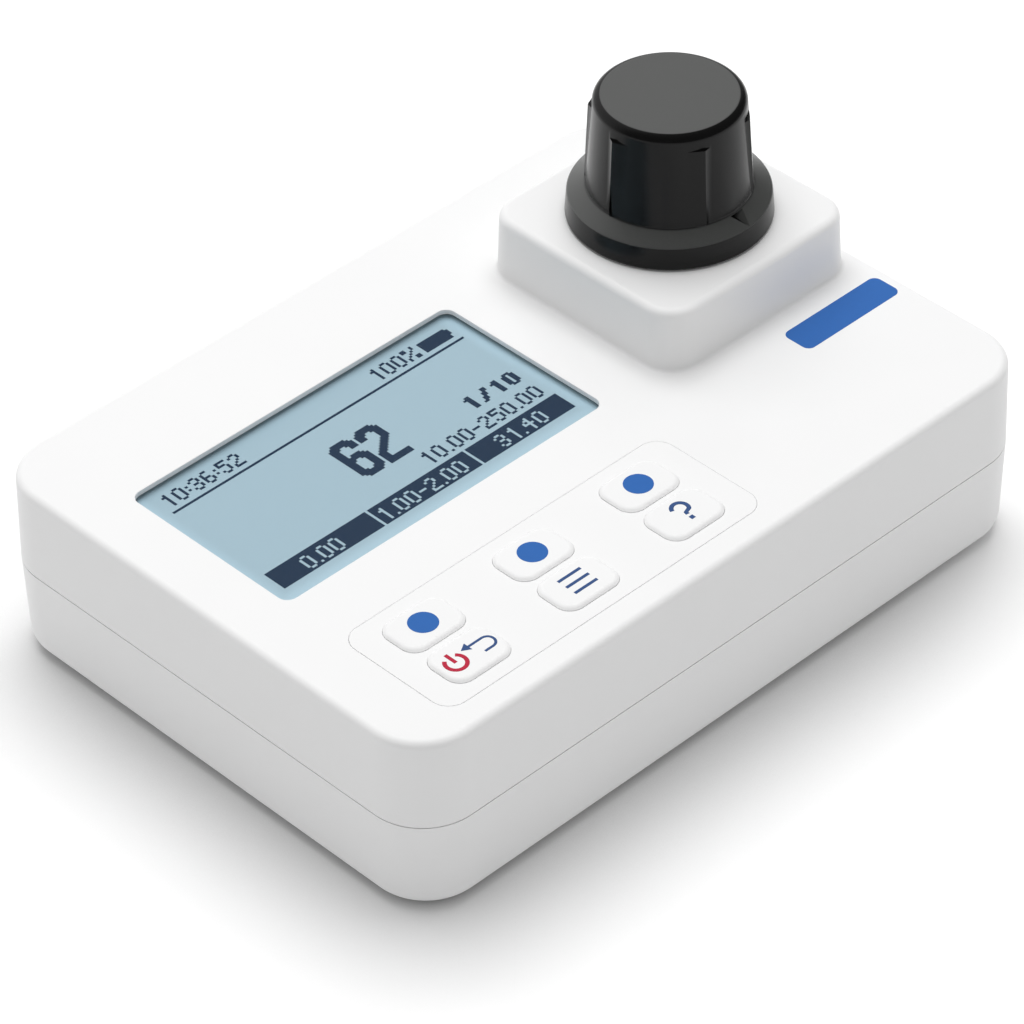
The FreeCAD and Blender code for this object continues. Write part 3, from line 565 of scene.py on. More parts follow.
def sunk_rod(name, radius, z1, x, y, vertices):
    """Cutter for a round recess in the underside: its flared mouth rounds the recess's edge."""
    lip = sizes().rim_round
    profile = [(radius + 1.5 * lip, CASE_LOW.z - FLARE_SINK)]
    profile += arc(radius + lip, CASE_LOW.z + lip, lip, 252, 180, 4) + [(radius, z1)]
    cutter = turned(name, profile, x, y, vertices)
    close_ends(cutter)
    return cutter


def stroke(name, points, width, top):
    """A printed line through points in millimetres, flat on the key at the height top."""
    curve = bpy.data.curves.new(name, "CURVE")
    curve.dimensions = "3D"
    curve.bevel_depth = width / 2 * MM
    curve.bevel_resolution = 4
    curve.use_fill_caps = True
    spline = curve.splines.new("POLY")
    spline.points.add(len(points) - 1)
    for point, (x, y) in zip(spline.points, points):
        point.co = (x * MM, y * MM, 0.0, 1.0)
    line = bpy.data.objects.new(name, curve)
    bpy.context.scene.collection.objects.link(line)
    activate(line)
    bpy.ops.object.convert(target="MESH")
    line = bpy.context.active_object
    line.scale.z = 2 * PRINT / (width * MM)
    line.location.z = top
    bpy.ops.object.transform_apply(location=True, rotation=True, scale=True)
    bpy.ops.object.shade_smooth()
    return line


def flat_sign(name, x, y, half_width, half_height, top):
    """A printed bar centred at x and y, all in millimetres but the height top."""
    return cube(name, ((x - half_width) * MM, (y - half_height) * MM, top),
                ((x + half_width) * MM, (y + half_height) * MM, top + PRINT))


def cone_radius(z):
    """The cap's radius, without its grips, at a height above the skirt."""
    return CONE_BASE + (CONE_TOP - CONE_BASE) * (z - CONE_FOOT) / (CAP_HIGH.z - CONE_FOOT)


def outward_at(angle):
    """Level direction away from the well's axis, at an angle in radians from the X direction."""
    return Vector((math.cos(angle), math.sin(angle), 0.0))


def grip():
    """The first raised grip panel: part of a wide tapered drum between two sloping flanks."""
    direction = math.radians(FIRST_GRIP + CAP_TURN)
    half = math.radians(GRIP_WIDTH / 2)
    rings = []
    for z, proud in zip((CONE_FOOT - GRIP_SINK, GRIP_TOP), GRIP_PROUD):
        middle, edge = cone_radius(z) - GRIP_HOLLOW, cone_radius(z) + proud
        drop = middle - edge * math.cos(half)
        reach = edge * math.sin(half)
        radius = (reach * reach + drop * drop) / (2 * drop)
        rings.append((z, radius, middle - radius, edge))
    (z0, radius0, offset0, edge0), (z1, radius1, offset1, edge1) = rings
    outward = outward_at(direction)
    start = WELL + outward * offset0
    drum = rod("grip", radius0, z0, z1, start.x, start.y, 200)
    pick(drum, "VERT", lambda point: close(point.z, z1))
    shrink(radius1 / radius0, radius1 / radius0, (start.x, start.y, z1))
    bpy.ops.transform.translate(value=outward * (offset1 - offset0))
    heart = WELL + outward * GRIP_HEART
    planes = [(Vector((heart.x, heart.y, z0)), -outward)]
    for side in (-1, 1):
        radial = outward_at(direction + side * half)
        aside = Vector((-radial.y, radial.x, 0.0)) * side
        flank = radial * math.cos(GRIP_FLANK) + aside * math.sin(GRIP_FLANK)
        face = (radial * edge0 - outward * offset0).normalized()
        centre = radial * edge0 - (flank + face) * GRIP_CREST / (1 + flank.dot(face))
        for step in range(CREST_STEPS):
            normal = flank.lerp(face, step / CREST_STEPS).normalized()
            spot = WELL + centre + normal * GRIP_CREST
            lean = normal.dot(radial) * (edge1 - edge0) / (z1 - z0)
            planes.append((Vector((spot.x, spot.y, z0)), Vector((normal.x, normal.y, -lean))))
    for spot, normal in planes:
        select_everything()
        bpy.ops.mesh.bisect(plane_co=spot, plane_no=normal.normalized(), use_fill=True,
                            clear_outer=True)
    face_outwards()
    return drum


def pointer():
    """A slim four-sided spike that lies along the skirt and cuts the pointer's groove."""
    outward = outward_at(math.radians(CAP_TURN - 90.0))
    start = WELL + outward * POINTER_START
    start.z = CONE_FOOT - POINTER_SINK
    end = WELL + outward * POINTER_END
    end.z = SKIRT_RIM_LEVEL - POINTER_END_SINK
    run = end - start
    deselect()
    bpy.ops.mesh.primitive_cone_add(vertices=4, radius1=POINTER_RADIUS, radius2=0.0,
                                    depth=run.length, location=(start + end) / 2)
    spike = bpy.context.active_object
    across = Vector((-outward.y, outward.x, 0.0))
    rise = run.normalized().cross(across)
    turn = Matrix((across, rise, run.normalized())).transposed().to_4x4()
    spike.matrix_world = Matrix.Translation((start + end) / 2) @ turn
    return settle("pointer")


def display_dots():
    """The columns and rows of the display's dots that are dark."""
    lit = set()

    def fill(left, top, width, height):
        lit.update((column, row) for column in range(left, left + width)
                   for row in range(top, top + height))

    def write(text, left, top, dark=True, size="plain"):
        for sign in text:
            rows = (LARGE_SIGNS if size == "large" else SIGNS)[sign].split()
            for row, pattern in enumerate(rows):
                for column, mark in enumerate(pattern):
                    if mark == "#":
                        spots = [(left + column, top + row)]
                        if size == "bold":
                            spots.append((left + column + 1, top + row))
                        (lit.update if dark else lit.difference_update)(spots)
            left += len(rows[0]) + (2 if size == "bold" else 1)

    write("10:36:52", 1, 0)
    write("100%", 92, 0)
    fill(114, 1, 12, 6)
    fill(126, 2, 1, 3)
    fill(0, 9, 128, 1)
    write("6", 55, 21, size="large")
    write("2", 66, 21, size="large")
    write("1/10", 103, 34, size="bold")
    write("10.00-250.00", 74, 45)
    fill(0, 54, 128, 10)
    for left in (43, 86):
        lit.difference_update((left, row) for row in range(54, 64))
    write("0.00", 12, 56, dark=False)
    write("1.00-2.00", 45, 56, dark=False)
    write("31.40", 97, 56, dark=False)
    return lit


# Finishes


class Channel:
    """An output socket; sums of number channels become Math nodes."""

    def __init__(self, finish, socket):
        self.finish = finish
        self.socket = socket

    def math(self, operation, *values):
        """A Math node on these values, each a number or a channel."""
        return self.finish.add("ShaderNodeMath", {"operation": operation}, dict(enumerate(values)))

    def __add__(self, other):
        return self.math("ADD", self, other)

    def __radd__(self, other):
        return self.math("ADD", other, self)

    def __sub__(self, other):
        return self.math("SUBTRACT", self, other)

    def __rsub__(self, other):
        return self.math("SUBTRACT", other, self)

    def __mul__(self, other):
        return self.math("MULTIPLY", self, other)

    def __rmul__(self, other):
        return self.math("MULTIPLY", other, self)

    def __pow__(self, other):
        return self.math("POWER", self, other)


class Finish:
    """A material or world in the making. add() gives it one node and returns its output."""

    def __init__(self, name, kind="materials"):
        self.material = getattr(bpy.data, kind).new(name)
        self.material.use_nodes = True
        self.tree = self.material.node_tree
        self.tree.nodes.clear()

    def add(self, kind, settings=None, inputs=None, output=0):
        node = self.tree.nodes.new(kind)
        for key, value in (settings or {}).items():
            setattr(node, key, value)
        for key, value in (inputs or {}).items():
            if isinstance(value, Channel):
                self.tree.links.new(value.socket, node.inputs[key])
            else:
                node.inputs[key].default_value = value
        return Channel(self, node.outputs[output])

    def coordinates(self):
        return self.add("ShaderNodeTexCoord", output="Object")

    def noise(self, scale, detail=2.0):
        return self.add("ShaderNodeTexNoise", {}, {"Vector": self.coordinates(), "Scale": scale,
                                                   "Detail": detail})

    def axis(self, letter):
        return self.add("ShaderNodeSeparateXYZ", {}, {"Vector": self.coordinates()}, letter)

    def blend(self, factor, first, second):
        """Colour that goes from the first to the second as the factor goes from 0 to 1."""
        node = self.add("ShaderNodeMix", {"data_type": "RGBA"}, {"Factor": factor}, 2)
        mix = node.socket.node
        for index, value in ((6, first), (7, second)):
            if isinstance(value, Channel):
                self.tree.links.new(value.socket, mix.inputs[index])
            else:
                mix.inputs[index].default_value = value
        return node

    def mottled(self, factor, colour, low, high=1.0):
        """The colour, times low where the factor is 0 and times high where it is 1."""
        return self.blend(factor, *[opaque([channel * share for channel in colour])
                                    for share in (low, high)])

    def range(self, value, low, high, to_low, to_high):
        return self.add("ShaderNodeMapRange", {"interpolation_type": "SMOOTHSTEP"},
                        {"Value": value, "From Min": low, "From Max": high,
                         "To Min": to_low, "To Max": to_high})

    def bump(self, height, distance, strength):
        return self.add("ShaderNodeBump", {}, {"Height": height, "Distance": distance,
                                               "Strength": strength})

    def surface(self, **values):
        """Ends the material with a plain surface shader, its sockets named with underscores."""
        inputs = {}
        for key, value in values.items():
            inputs[key.replace("_", " ").title().replace("Ior", "IOR")] = value
        shader = self.add("ShaderNodeBsdfPrincipled", {}, inputs)
        self.add_output(shader)
        return self.material

    def add_output(self, shader, kind="ShaderNodeOutputMaterial"):
        output = self.tree.nodes.new(kind)
        self.tree.links.new(shader.socket, output.inputs["Surface"])


def opaque(colour):
    return (*colour, 1.0)


def moulded_plastic(name, colour, roughness, grain, depth):
    """Moulded plastic: faint unevenness of colour and gloss over a fine spark-eroded grain."""
    finish = Finish(name)
    cloud = finish.noise(60.0)
    fine = finish.noise(grain, 3.0)
    return finish.surface(
        base_color=finish.mottled(cloud, colour, 0.975),
        roughness=roughness + 0.08 * (fine - 0.5),
        normal=finish.bump(fine, depth, 0.5),
    )


def print_ink(name, colour, shine=0.2):
    finish = Finish(name)
    cloud = finish.noise(900.0)
    return finish.surface(
        base_color=finish.mottled(cloud, colour, 0.92),
        roughness=0.5 + 0.1 * cloud,
        specular_ior_level=shine,
    )


def display_finish(colour):
    """Liquid crystal: a fine cloudy grey-blue, paler in a band along the window's edges."""
    finish = Finish("display_liquid_crystal")
    grain = finish.noise(2600.0, 2.0)
    across = finish.axis("X") - PANE.x
    along = finish.axis("Y") - PANE.y
    side = finish.range(across.math("ABSOLUTE", across), WINDOW_LENGTH / 2 - SIDE_BAND[0],
                        WINDOW_LENGTH / 2 - SIDE_BAND[1], 0.0, 1.0)
    front = finish.range(along, FRONT_BAND[0] - WINDOW_HEIGHT / 2,
                         FRONT_BAND[1] - WINDOW_HEIGHT / 2, 1.0, 0.0)
    edge = front.math("MAXIMUM", front, side)
    pale = opaque([channel * 1.22 for channel in colour])
    return finish.surface(
        base_color=finish.blend(edge * 0.8, finish.mottled(grain, colour, 0.94, 1.05), pale),
        roughness=0.35 + 0.1 * grain,
    )


def cap_finish(colour):
    """Black plastic, polished on the sides; top disc and skirt finely matte, with painted sheen."""
    finish = Finish("cap_black_plastic")
    centred = finish.add("ShaderNodeMapping", {"vector_type": "POINT"},
                         {"Vector": finish.coordinates(), "Location": (-WELL.x, -WELL.y, 0.0)})
    x, y, z = [finish.add("ShaderNodeSeparateXYZ", {}, {"Vector": centred}, letter)
               for letter in "XYZ"]
    radius = (x * x + y * y) ** 0.5
    top = finish.range(radius, *DISC_EDGE, 1.0, 0.0) * finish.range(z, *DISC_DEPTH, 0.0, 1.0)
    skirt = finish.range(z, *SKIRT_TOP, 1.0, 0.0)
    face = finish.range(z + radius * SKIRT_SLOPE, *SKIRT_FACE, 0.0, 1.0)
    # The groove's painted sheen covers one side; the other stays black as painted shade
    groove = finish.range(x, *GROOVE_LIT_SIDE, 0.0, 1.0) * finish.range(radius, *GROOVE_END, 1.0, 0.0)
    matt_and_painted_sheen = top.math("MAXIMUM", top, skirt * face.math("MAXIMUM", face, groove))
    grain = finish.noise(5200.0, 2.0)
    scratches = finish.noise(700.0, 4.0)
    # Painted sheen: grey on the matte zones stands in for their soft reflection of the studio
    grey = (0.062, 0.064, 0.062, 1.0)
    return finish.surface(
        base_color=finish.blend(matt_and_painted_sheen * (0.8 + 0.4 * grain), opaque(colour), grey),
        roughness=0.2 + 0.25 * matt_and_painted_sheen + 0.06 * scratches,
        specular_ior_level=0.22,
        coat_weight=matt_and_painted_sheen,
        coat_roughness=0.22,
        normal=finish.bump(grain * matt_and_painted_sheen, 0.06 * MM, 0.4),
    )


def clear_glass(name, tint):
    finish = Finish(name)
    smear = finish.noise(300.0)
    return finish.surface(
        base_color=opaque(tint),
        roughness=0.02 + 0.02 * smear,
        transmission_weight=1.0,
        ior=1.47,
    )


def pane_finish():
    """The display's window: almost nothing but a faint sheen, so that the display shows through."""
    finish = Finish("window_pane")
    smear = finish.noise(200.0)
    return finish.surface(
        base_color=(0.30, 0.36, 0.38, 1.0),
        roughness=0.1 + 0.05 * smear,
        alpha=0.03,
    )


def metal(name, colour, roughness):
    finish = Finish(name)
    streaks = finish.noise(1500.0, 3.0)
    return finish.surface(
        base_color=finish.mottled(streaks, colour, 0.85),
        metallic=1.0,
        roughness=roughness + 0.15 * (streaks - 0.5),
    )


def rubber(name, shade):
    finish = Finish(name)
    grain = finish.noise(3000.0, 3.0)
    return finish.surface(
        base_color=finish.mottled(grain, [shade] * 3, 1.0, 1.5),
        roughness=0.75 + 0.1 * grain,
        normal=finish.bump(grain, 0.03 * MM, 0.4),
    )


def case_material():
    """The case's white plastic, which both halves and the housing's other pieces share."""
    name = "case_white_plastic"
    return bpy.data.materials.get(name) or moulded_plastic(name, colours().case, 0.38, 3200.0,
                                                           0.012 * MM)


# Parts of the stage


def lay_floor():
    """White floor: even paper to the camera, shaded near the case, and darker to all other rays."""
    deselect()
    bpy.ops.mesh.primitive_plane_add(size=FLOOR_SIDE, location=(0, 0, 0))
    floor = settle("floor")
    finish = Finish("floor_paper")
    camera_ray = finish.add("ShaderNodeLightPath", output="Is Camera Ray")
    glossy_ray = finish.add("ShaderNodeLightPath", output="Is Glossy Ray")
    nearby = finish.add("ShaderNodeAmbientOcclusion", {"samples": 8}, {"Distance": SHADE_REACH},
                        "AO")
    depth = finish.range(finish.axis("X"), *SHADE_FADE, SHADE_DEPTH, SHADE_DEPTH_RIGHT)
    seen = finish.blend(nearby ** depth, opaque([0.0] * 3), opaque([1.0] * 3))
    colour = finish.blend(camera_ray, opaque([FLOOR_GREY] * 3), seen)
    strength = FLOOR_GLOW * camera_ray + FLOOR_SHEEN * glossy_ray
    diffuse = finish.add("ShaderNodeBsdfDiffuse", {}, {"Color": colour})
    glow = finish.add("ShaderNodeEmission", {}, {"Color": opaque([1.0] * 3), "Strength": strength})
    finish.add_output(finish.add("ShaderNodeAddShader", {}, {0: diffuse, 1: glow}))
    floor.data.materials.append(finish.material)


def light_world(scene):
    """White studio: plain to the camera, dimmer as light, and shining on one side only."""
    world = Finish("studio", "worlds")
    scene.world = world.material
    rays = [world.add("ShaderNodeLightPath", output=kind)
            for kind in ("Is Camera Ray", "Is Transmission Ray", "Is Glossy Ray")]
    shown = rays[0].math("MAXIMUM", rays[0], rays[1])
    direction = world.add("ShaderNodeTexCoord", output="Generated")
    away = world.add("ShaderNodeVectorMath", {"operation": "DOT_PRODUCT"},
                     {0: direction, 1: BRIGHT_SIDE}, "Value")
    shine = world.range(away, *BRIGHT_REACH, DARK_SIDE_SHINE, 1.0)
    strength = WORLD_LIGHT + shown * (1.0 - WORLD_LIGHT) + rays[2] * (shine - WORLD_LIGHT)
    background = world.add("ShaderNodeBackground", {}, {"Strength": strength})
    world.add_output(background, "ShaderNodeOutputWorld")


def set_camera(scene):
    """The photograph's camera, from its turn, height, tilt, target and distance."""
    deselect()
    bpy.ops.object.camera_add()
    camera = bpy.context.active_object
    camera.name = "photograph_view"
    turn, height, tilt = [math.radians(value) for value in (VIEW_TURN, VIEW_HEIGHT, VIEW_TILT)]
    back = Vector((math.sin(turn) * math.cos(height), -math.cos(turn) * math.cos(height),
                   math.sin(height)))
    flat_right = Vector((math.cos(turn), math.sin(turn), 0.0))
    flat_up = back.cross(flat_right)
    right = flat_right * math.cos(tilt) + flat_up * math.sin(tilt)
    up = flat_up * math.cos(tilt) - flat_right * math.sin(tilt)
    spot = Matrix.Translation(Vector(VIEW_TARGET) + back * VIEW_DISTANCE)
    camera.matrix_world = spot @ Matrix((right, up, back)).transposed().to_4x4()
    camera.data.lens = VIEW_LENS
    camera.data.sensor_width = VIEW_SENSOR
    camera.data.clip_start, camera.data.clip_end = VIEW_CLIP
    scene.camera = camera


# Operators: one for each piece or group of like pieces


class PHOTOMETER_OT_upper_case(bpy.types.Operator):
    """Model the upper half of the case with its pedestal and openings"""

    bl_idname = "photometer.upper_case"
    bl_label = "Upper case"

    def execute(self, context):
        size = sizes()
        low = PARTING + PARTING_GAP / 2
        length = CASE_HIGH.x - CASE_LOW.x
        depth = CASE_HIGH.y - CASE_LOW.y
        case = rounded_block("upper_case", length, depth, size.case_corner, low, DECK,
                             draft=UPPER_DRAFT, segments=24)
        bevel(case, at_level(DECK), size.deck_round, 8)
        inner_floor = DECK - WALL
        foot = size.pedestal_foot
        level = DECK + foot
        pedestal = rounded_block("pedestal", PEDESTAL_SIDE, PEDESTAL_SIDE, PEDESTAL_CORNER,
                                 level, UPPER_HIGH.z, WELL.x, WELL.y, draft=PEDESTAL_DRAFT,
                                 segments=16)
        bevel(pedestal, at_level(UPPER_HIGH.z), size.pedestal_round, 8)
        pick(pedestal, "FACE", lambda centre, normal: close(centre.z, level))
        side = PEDESTAL_SIDE
        flare = arc(foot, level, foot, 180, 270, 6)[1:] + [(1.5 * foot, DECK - FLARE_SINK)]
        for out, z in flare:
            ratio = (PEDESTAL_SIDE + 2 * out) / side
            draw_up(z - level)
            shrink(ratio, ratio, (WELL.x, WELL.y, z))
            side, level = PEDESTAL_SIDE + 2 * out, z
        done()
        combine(case, pedestal, "UNION")
        cut(case, rounded_block("room", length - 2 * WALL, depth - 2 * WALL,
                                size.case_corner - WALL, low - PAST, inner_floor,
                                draft=UPPER_DRAFT))
        cut(case, rounded_block("well_room", PEDESTAL_SIDE - 2 * WALL, PEDESTAL_SIDE - 2 * WALL,
                                PEDESTAL_CORNER - WALL, inner_floor - PAST, UPPER_HIGH.z - WALL,
                                WELL.x, WELL.y, draft=PEDESTAL_DRAFT))
        cut(case, block_over("pane_seat", PANE_LOW, PANE_HIGH, PANE_SEAT_GAP, PANE_SEAT_CORNER,
                             inner_floor - PAST, DECK - WINDOW_LIP))
        cut(case, rounded_block("window", WINDOW_LENGTH, WINDOW_HEIGHT, WINDOW_CORNER,
                                inner_floor - PAST, DECK + PAST, PANE.x, PANE.y))
        cut(case, block_over("keypad_seat", PAD_LOW, PAD_HIGH, PAD_CLEARANCE,
                             PAD_CORNER + PAD_CLEARANCE, PAD_LOW.z - PAD_SEAT_DROP, DECK + PAST))
        for name in KEYS:
            cut(case, block_over("key_hole", *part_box(name), KEY_DECK_GAP - KEY_FLANGE,
                                 KEY_CORNER + KEY_DECK_GAP, inner_floor - PAST, PAD_LOW.z))
        cut(case, rod("well_hole", WELL_HOLE, DECK, UPPER_HIGH.z + PAST, WELL.x, WELL.y, 96))

        def within(point, low_corner, high_corner, spare):
            return (low_corner.x - spare < point.x < high_corner.x + spare
                    and low_corner.y - spare < point.y < high_corner.y + spare)

        def rim(a, b):
            in_window = all(within(point, PANE_LOW, PANE_HIGH, 0.0) for point in (a, b))
            in_pad = all(within(point, PAD_LOW, PAD_HIGH, PAST) for point in (a, b))
            return at_level(DECK)(a, b) and (in_window or in_pad)

        def well_rim(a, b):
            radii = [math.hypot(point.x - WELL.x, point.y - WELL.y) for point in (a, b)]
            on_hole = all(close(radius, WELL_HOLE) for radius in radii)
            return at_level(UPPER_HIGH.z)(a, b) and on_hole

        bevel(case, rim, size.rim_round, 3)
        bevel(case, well_rim, WELL_RIM_ROUND, 4)
        smooth(case)
        place(case, "housing", "housing_white", case_material(), "upper_housing")
        return {"FINISHED"}


class PHOTOMETER_OT_lower_case(bpy.types.Operator):
    """Model the lower half of the case with the recesses of its underside"""

    bl_idname = "photometer.lower_case"
    bl_label = "Lower case"

    def execute(self, context):
        size = sizes()
        high = PARTING - PARTING_GAP / 2
        floor = CASE_LOW.z
        length = CASE_HIGH.x - CASE_LOW.x
        depth = CASE_HIGH.y - CASE_LOW.y
        case = rounded_block("lower_case", length, depth, size.case_corner, floor, high,
                             draft=LOWER_DRAFT, wide_low=False, segments=24)
        bevel(case, at_level(floor), size.base_round, 10)
        cut(case, rounded_block("room", length - 2 * WALL, depth - 2 * WALL,
                                size.case_corner - WALL, floor + WALL, high + PAST,
                                draft=LOWER_DRAFT, wide_low=False))
        for side_x in (-1, 1):
            for side_y in (-1, 1):
                x, y = side_x * BOSS_X, side_y * BOSS_Y
                combine(case, rod("boss", BOSS_RADIUS, floor + PAST, high, x, y, 48), "UNION")
                cut(case, sunk_rod("sink", SINK_RADIUS, SCREW_SEAT, x, y, 48))
                cut(case, rod("shank", SHANK_HOLE, floor, high + PAST, x, y, 32))
                cut(case, sunk_rod("foot_seat", FOOT_RADIUS + FOOT_GAP, floor + FOOT_RECESS,
                                   side_x * FOOT_X, side_y * FOOT_Y, 64))
        cut(case, sunk_rod("cover_seat", COVER_RECESS_RADIUS, floor + COVER_RECESS, COVER_X,
                           0.0, 160))
        cut(case, rod("throat", THROAT_RADIUS, floor, floor + 3 * WALL, COVER_X, 0.0, 160))
        smooth(case)
        place(case, "housing", "housing_white", case_material(), "lower_housing")
        return {"FINISHED"}


class PHOTOMETER_OT_feet(bpy.types.Operator):
    """Model the four rubber feet"""

    bl_idname = "photometer.feet"
    bl_label = "Rubber feet"

    def execute(self, context):
        top = CASE_LOW.z + FOOT_RECESS - FOOT_GAP
        profile = [(FOOT_RADIUS, top)]
        profile += arc(FOOT_RADIUS - FOOT_ROUND, FOOT_ROUND, FOOT_ROUND, 0, -90, 5)
        profile += [(FOOT_TREAD, 0.0), (FOOT_TREAD - 2 * FOOT_DISH, FOOT_DISH)]
        foot = turned("foot", profile, -FOOT_X, -FOOT_Y, 56)
        close_ends(foot)
        feet = [foot] + [copied(foot, "foot", offset=offset) for offset in (
            (0.0, 2 * FOOT_Y, 0.0), (2 * FOOT_X, 0.0, 0.0), (2 * FOOT_X, 2 * FOOT_Y, 0.0))]
        piece = join("feet", feet)
        smooth(piece)
        place(piece, "housing", "foot_rubber", rubber("foot_rubber", 0.03), "rubber_feet")
        return {"FINISHED"}


class PHOTOMETER_OT_keypad(bpy.types.Operator):
    """Model the keypad's plate and its six keys"""

    bl_idname = "photometer.keypad"
    bl_label = "Keypad"

    def execute(self, context):
        size = sizes()
        material = moulded_plastic("keypad_white_plastic", colours().case, 0.45, 2800.0,
                                   0.012 * MM)
        pad = block_over("keypad_plate", PAD_LOW, PAD_HIGH, 0.0, PAD_CORNER, PAD_LOW.z, DECK)
        low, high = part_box(KEYS[0])
        first = (low + high) / 2
        hole = block_over("key_hole", low, high, KEY_GAP - KEY_FLANGE, KEY_CORNER + KEY_GAP,
                          PAD_LOW.z - PAST, DECK + PAST)
        fuller = KEY_FULLER - KEY_FLANGE
        foot, top = DECK + KEY_FOOT, high.z - KEY_LOWER
        model = block_over("key", low, high, fuller, KEY_CORNER + KEY_FULLER, low.z + KEY_STEM,
                           foot, segments=16)
        pick(model, "FACE", lambda centre, normal: close(centre.z, foot))
        draw_up(top - foot)
        shrink(1 - 2 * KEY_SLOPE / (high.x - low.x + 2 * fuller),
               1 - 2 * KEY_SLOPE / (high.y - low.y + 2 * fuller), (first.x, first.y, top))
        done()
        bevel(model, at_level(top), size.key_round, 8)
        smooth(model)
        for name in KEYS:
            low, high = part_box(name)
            offset = (low + high) / 2 - first
            cut(pad, copied(hole, "key_hole", offset=offset))
            place(copied(model, name + "_cap", offset=offset), name, "key_white", material, name)
        bpy.data.objects.remove(hole)
        bpy.data.objects.remove(model)
        bevel(pad, at_level(DECK), size.pad_round, 3)
        smooth(pad)
        place(pad, "housing", "keypad_white", material, "keypad_overlay")
        return {"FINISHED"}


class PHOTOMETER_OT_key_signs(bpy.types.Operator):
    """Print the dots and signs on the keys"""

    bl_idname = "photometer.key_signs"
    bl_label = "Key signs"

    def execute(self, context):
        size = sizes()
        colour = colours()
        blue = print_ink("blue_ink", colour.blue)
        navy = print_ink("navy_ink", colour.navy)
        red = print_ink("red_ink", colour.red)
        low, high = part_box(KEYS[0])
        first = (low + high) / 2
        top = high.z - KEY_LOWER
        dot = rod("key_dot", size.dot_radius, top, top + PRINT, first.x, first.y + DOT_BACK)
        for name in KEYS[:3]:
            low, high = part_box(name)
            place(copied(dot, name + "_dot", offset=(low + high) / 2 - first), name, "key_white",
                  blue)
        bpy.data.objects.remove(dot)
        ring = arc(*POWER_SIGN, 1.8, 129, 411, 30)
        bar = [(POWER_SIGN[0], POWER_SIGN[1] + z) for z in (-0.05, 2.45)]
        place(stroke("power_ring", ring, 0.75, top), "key_power", "key_white", red)
        place(stroke("power_bar", bar, 0.7, top), "key_power", "key_white", red)
        bend = arc(*RETURN_BEND, 1.32, 90, -90, 18)
        place(stroke("return_line", [(-47.9, -37.2), *bend, (-46.1, -39.84)], 0.5, top),
              "key_power", "key_white", navy)
        deselect()
        bpy.ops.mesh.primitive_cylinder_add(vertices=3, radius=1.0, depth=PRINT)
        head = settle("return_head")
        edit()
        bpy.ops.transform.rotate(value=math.pi / 6, orient_axis="Z", center_override=(0, 0, 0))
        shrink(*RETURN_HEAD_SIDES, (0, 0, 0))
        bpy.ops.transform.translate(value=(*RETURN_HEAD, top + PRINT / 2))
        done()
        place(head, "key_power", "key_white", navy)
        bar = flat_sign("menu_bar", *MENU_SIGN, 2.5, 0.29, top)
        bars = [bar] + [copied(bar, "menu_bar", offset=(0.0, row * MENU_PITCH, 0.0))
                        for row in (-1, 1)]
        place(join("menu_bars", bars), "key_menu", "key_white", navy)
        hook = arc(*HELP_SIGN, 1.45, 165, -40, 20)
        place(stroke("help_hook", [*hook, (0.25, -38.5), (0.15, -39.05)], 0.78, top),
              "key_help", "key_white", navy)
        place(flat_sign("help_dot", *HELP_DOT, 0.42, 0.42, top), "key_help", "key_white", navy)
        return {"FINISHED"}


class PHOTOMETER_OT_deck_label(bpy.types.Operator):
    """Add the bare blue label on the deck"""

    bl_idname = "photometer.deck_label"
    bl_label = "Deck label"

    def execute(self, context):
        label = rounded_block("deck_label", *LABEL_SIDES, LABEL_CORNER, DECK - PRINT,
                              DECK + PRINT, *LABEL_PLACE)
        smooth(label)
        place(label, "housing", "housing_white", print_ink("label_ink", colours().blue))
        return {"FINISHED"}


class PHOTOMETER_OT_display(bpy.types.Operator):
    """Finish the display: its pane, the liquid crystal and the dots that show"""

    bl_idname = "photometer.display"
    bl_label = "Display"

    def execute(self, context):
        colour = colours()
        flange_top = DECK - WINDOW_LIP - PANE_SINK
        pane = block_over("window_pane", PANE_LOW, PANE_HIGH, 0.0, PANE_CORNER, PANE_LOW.z,
                          flange_top)
        raised = rounded_block("raised_face", WINDOW_LENGTH - 2 * WINDOW_GAP,
                               WINDOW_HEIGHT - 2 * WINDOW_GAP, WINDOW_CORNER - WINDOW_GAP,
                               flange_top - PANE_OVERLAP, PANE_HIGH.z, PANE.x, PANE.y)
        combine(pane, raised, "UNION")
        bevel(pane, at_level(PANE_HIGH.z), PANE_ROUND, 2)
        smooth(pane)
        place(pane, "housing", "window_clear", pane_finish(), "display_window")
        crystal = rounded_block("liquid_crystal", GLASS_HIGH.x - GLASS_LOW.x,
                                GLASS_HIGH.y - GLASS_LOW.y, GLASS_CORNER, GLASS_LOW.z,
                                GLASS_HIGH.z, PANE.x, PANE.y)
        smooth(crystal)
        place(crystal, "housing", "display_glass", display_finish(colour.display), "display_glass")
        lit = display_dots()
        deselect()
        middle = (DOT_LEFT + DOT_WIDTH / 2, DOT_FRONT + DOT_DEPTH / 2, GLASS_HIGH.z)
        bpy.ops.mesh.primitive_grid_add(x_subdivisions=DOT_COLUMNS, y_subdivisions=DOT_ROWS,
                                        size=1, location=middle)
        dots = settle("display_dots")
        edit()
        shrink(DOT_WIDTH, DOT_DEPTH, middle)
        done()

        def unlit(centre, normal):
            column = int((centre.x - DOT_LEFT) / DOT_WIDTH * DOT_COLUMNS)
            row = DOT_ROWS - 1 - int((centre.y - DOT_FRONT) / DOT_DEPTH * DOT_ROWS)
            return (column, row) not in lit

        pick(dots, "FACE", unlit)
        bpy.ops.mesh.delete(type="FACE")
        select_everything()
        draw_up(PRINT)
        done()
        place(dots, "housing", "display_glass", print_ink("display_dots", colour.dots, 0.0))
        return {"FINISHED"}


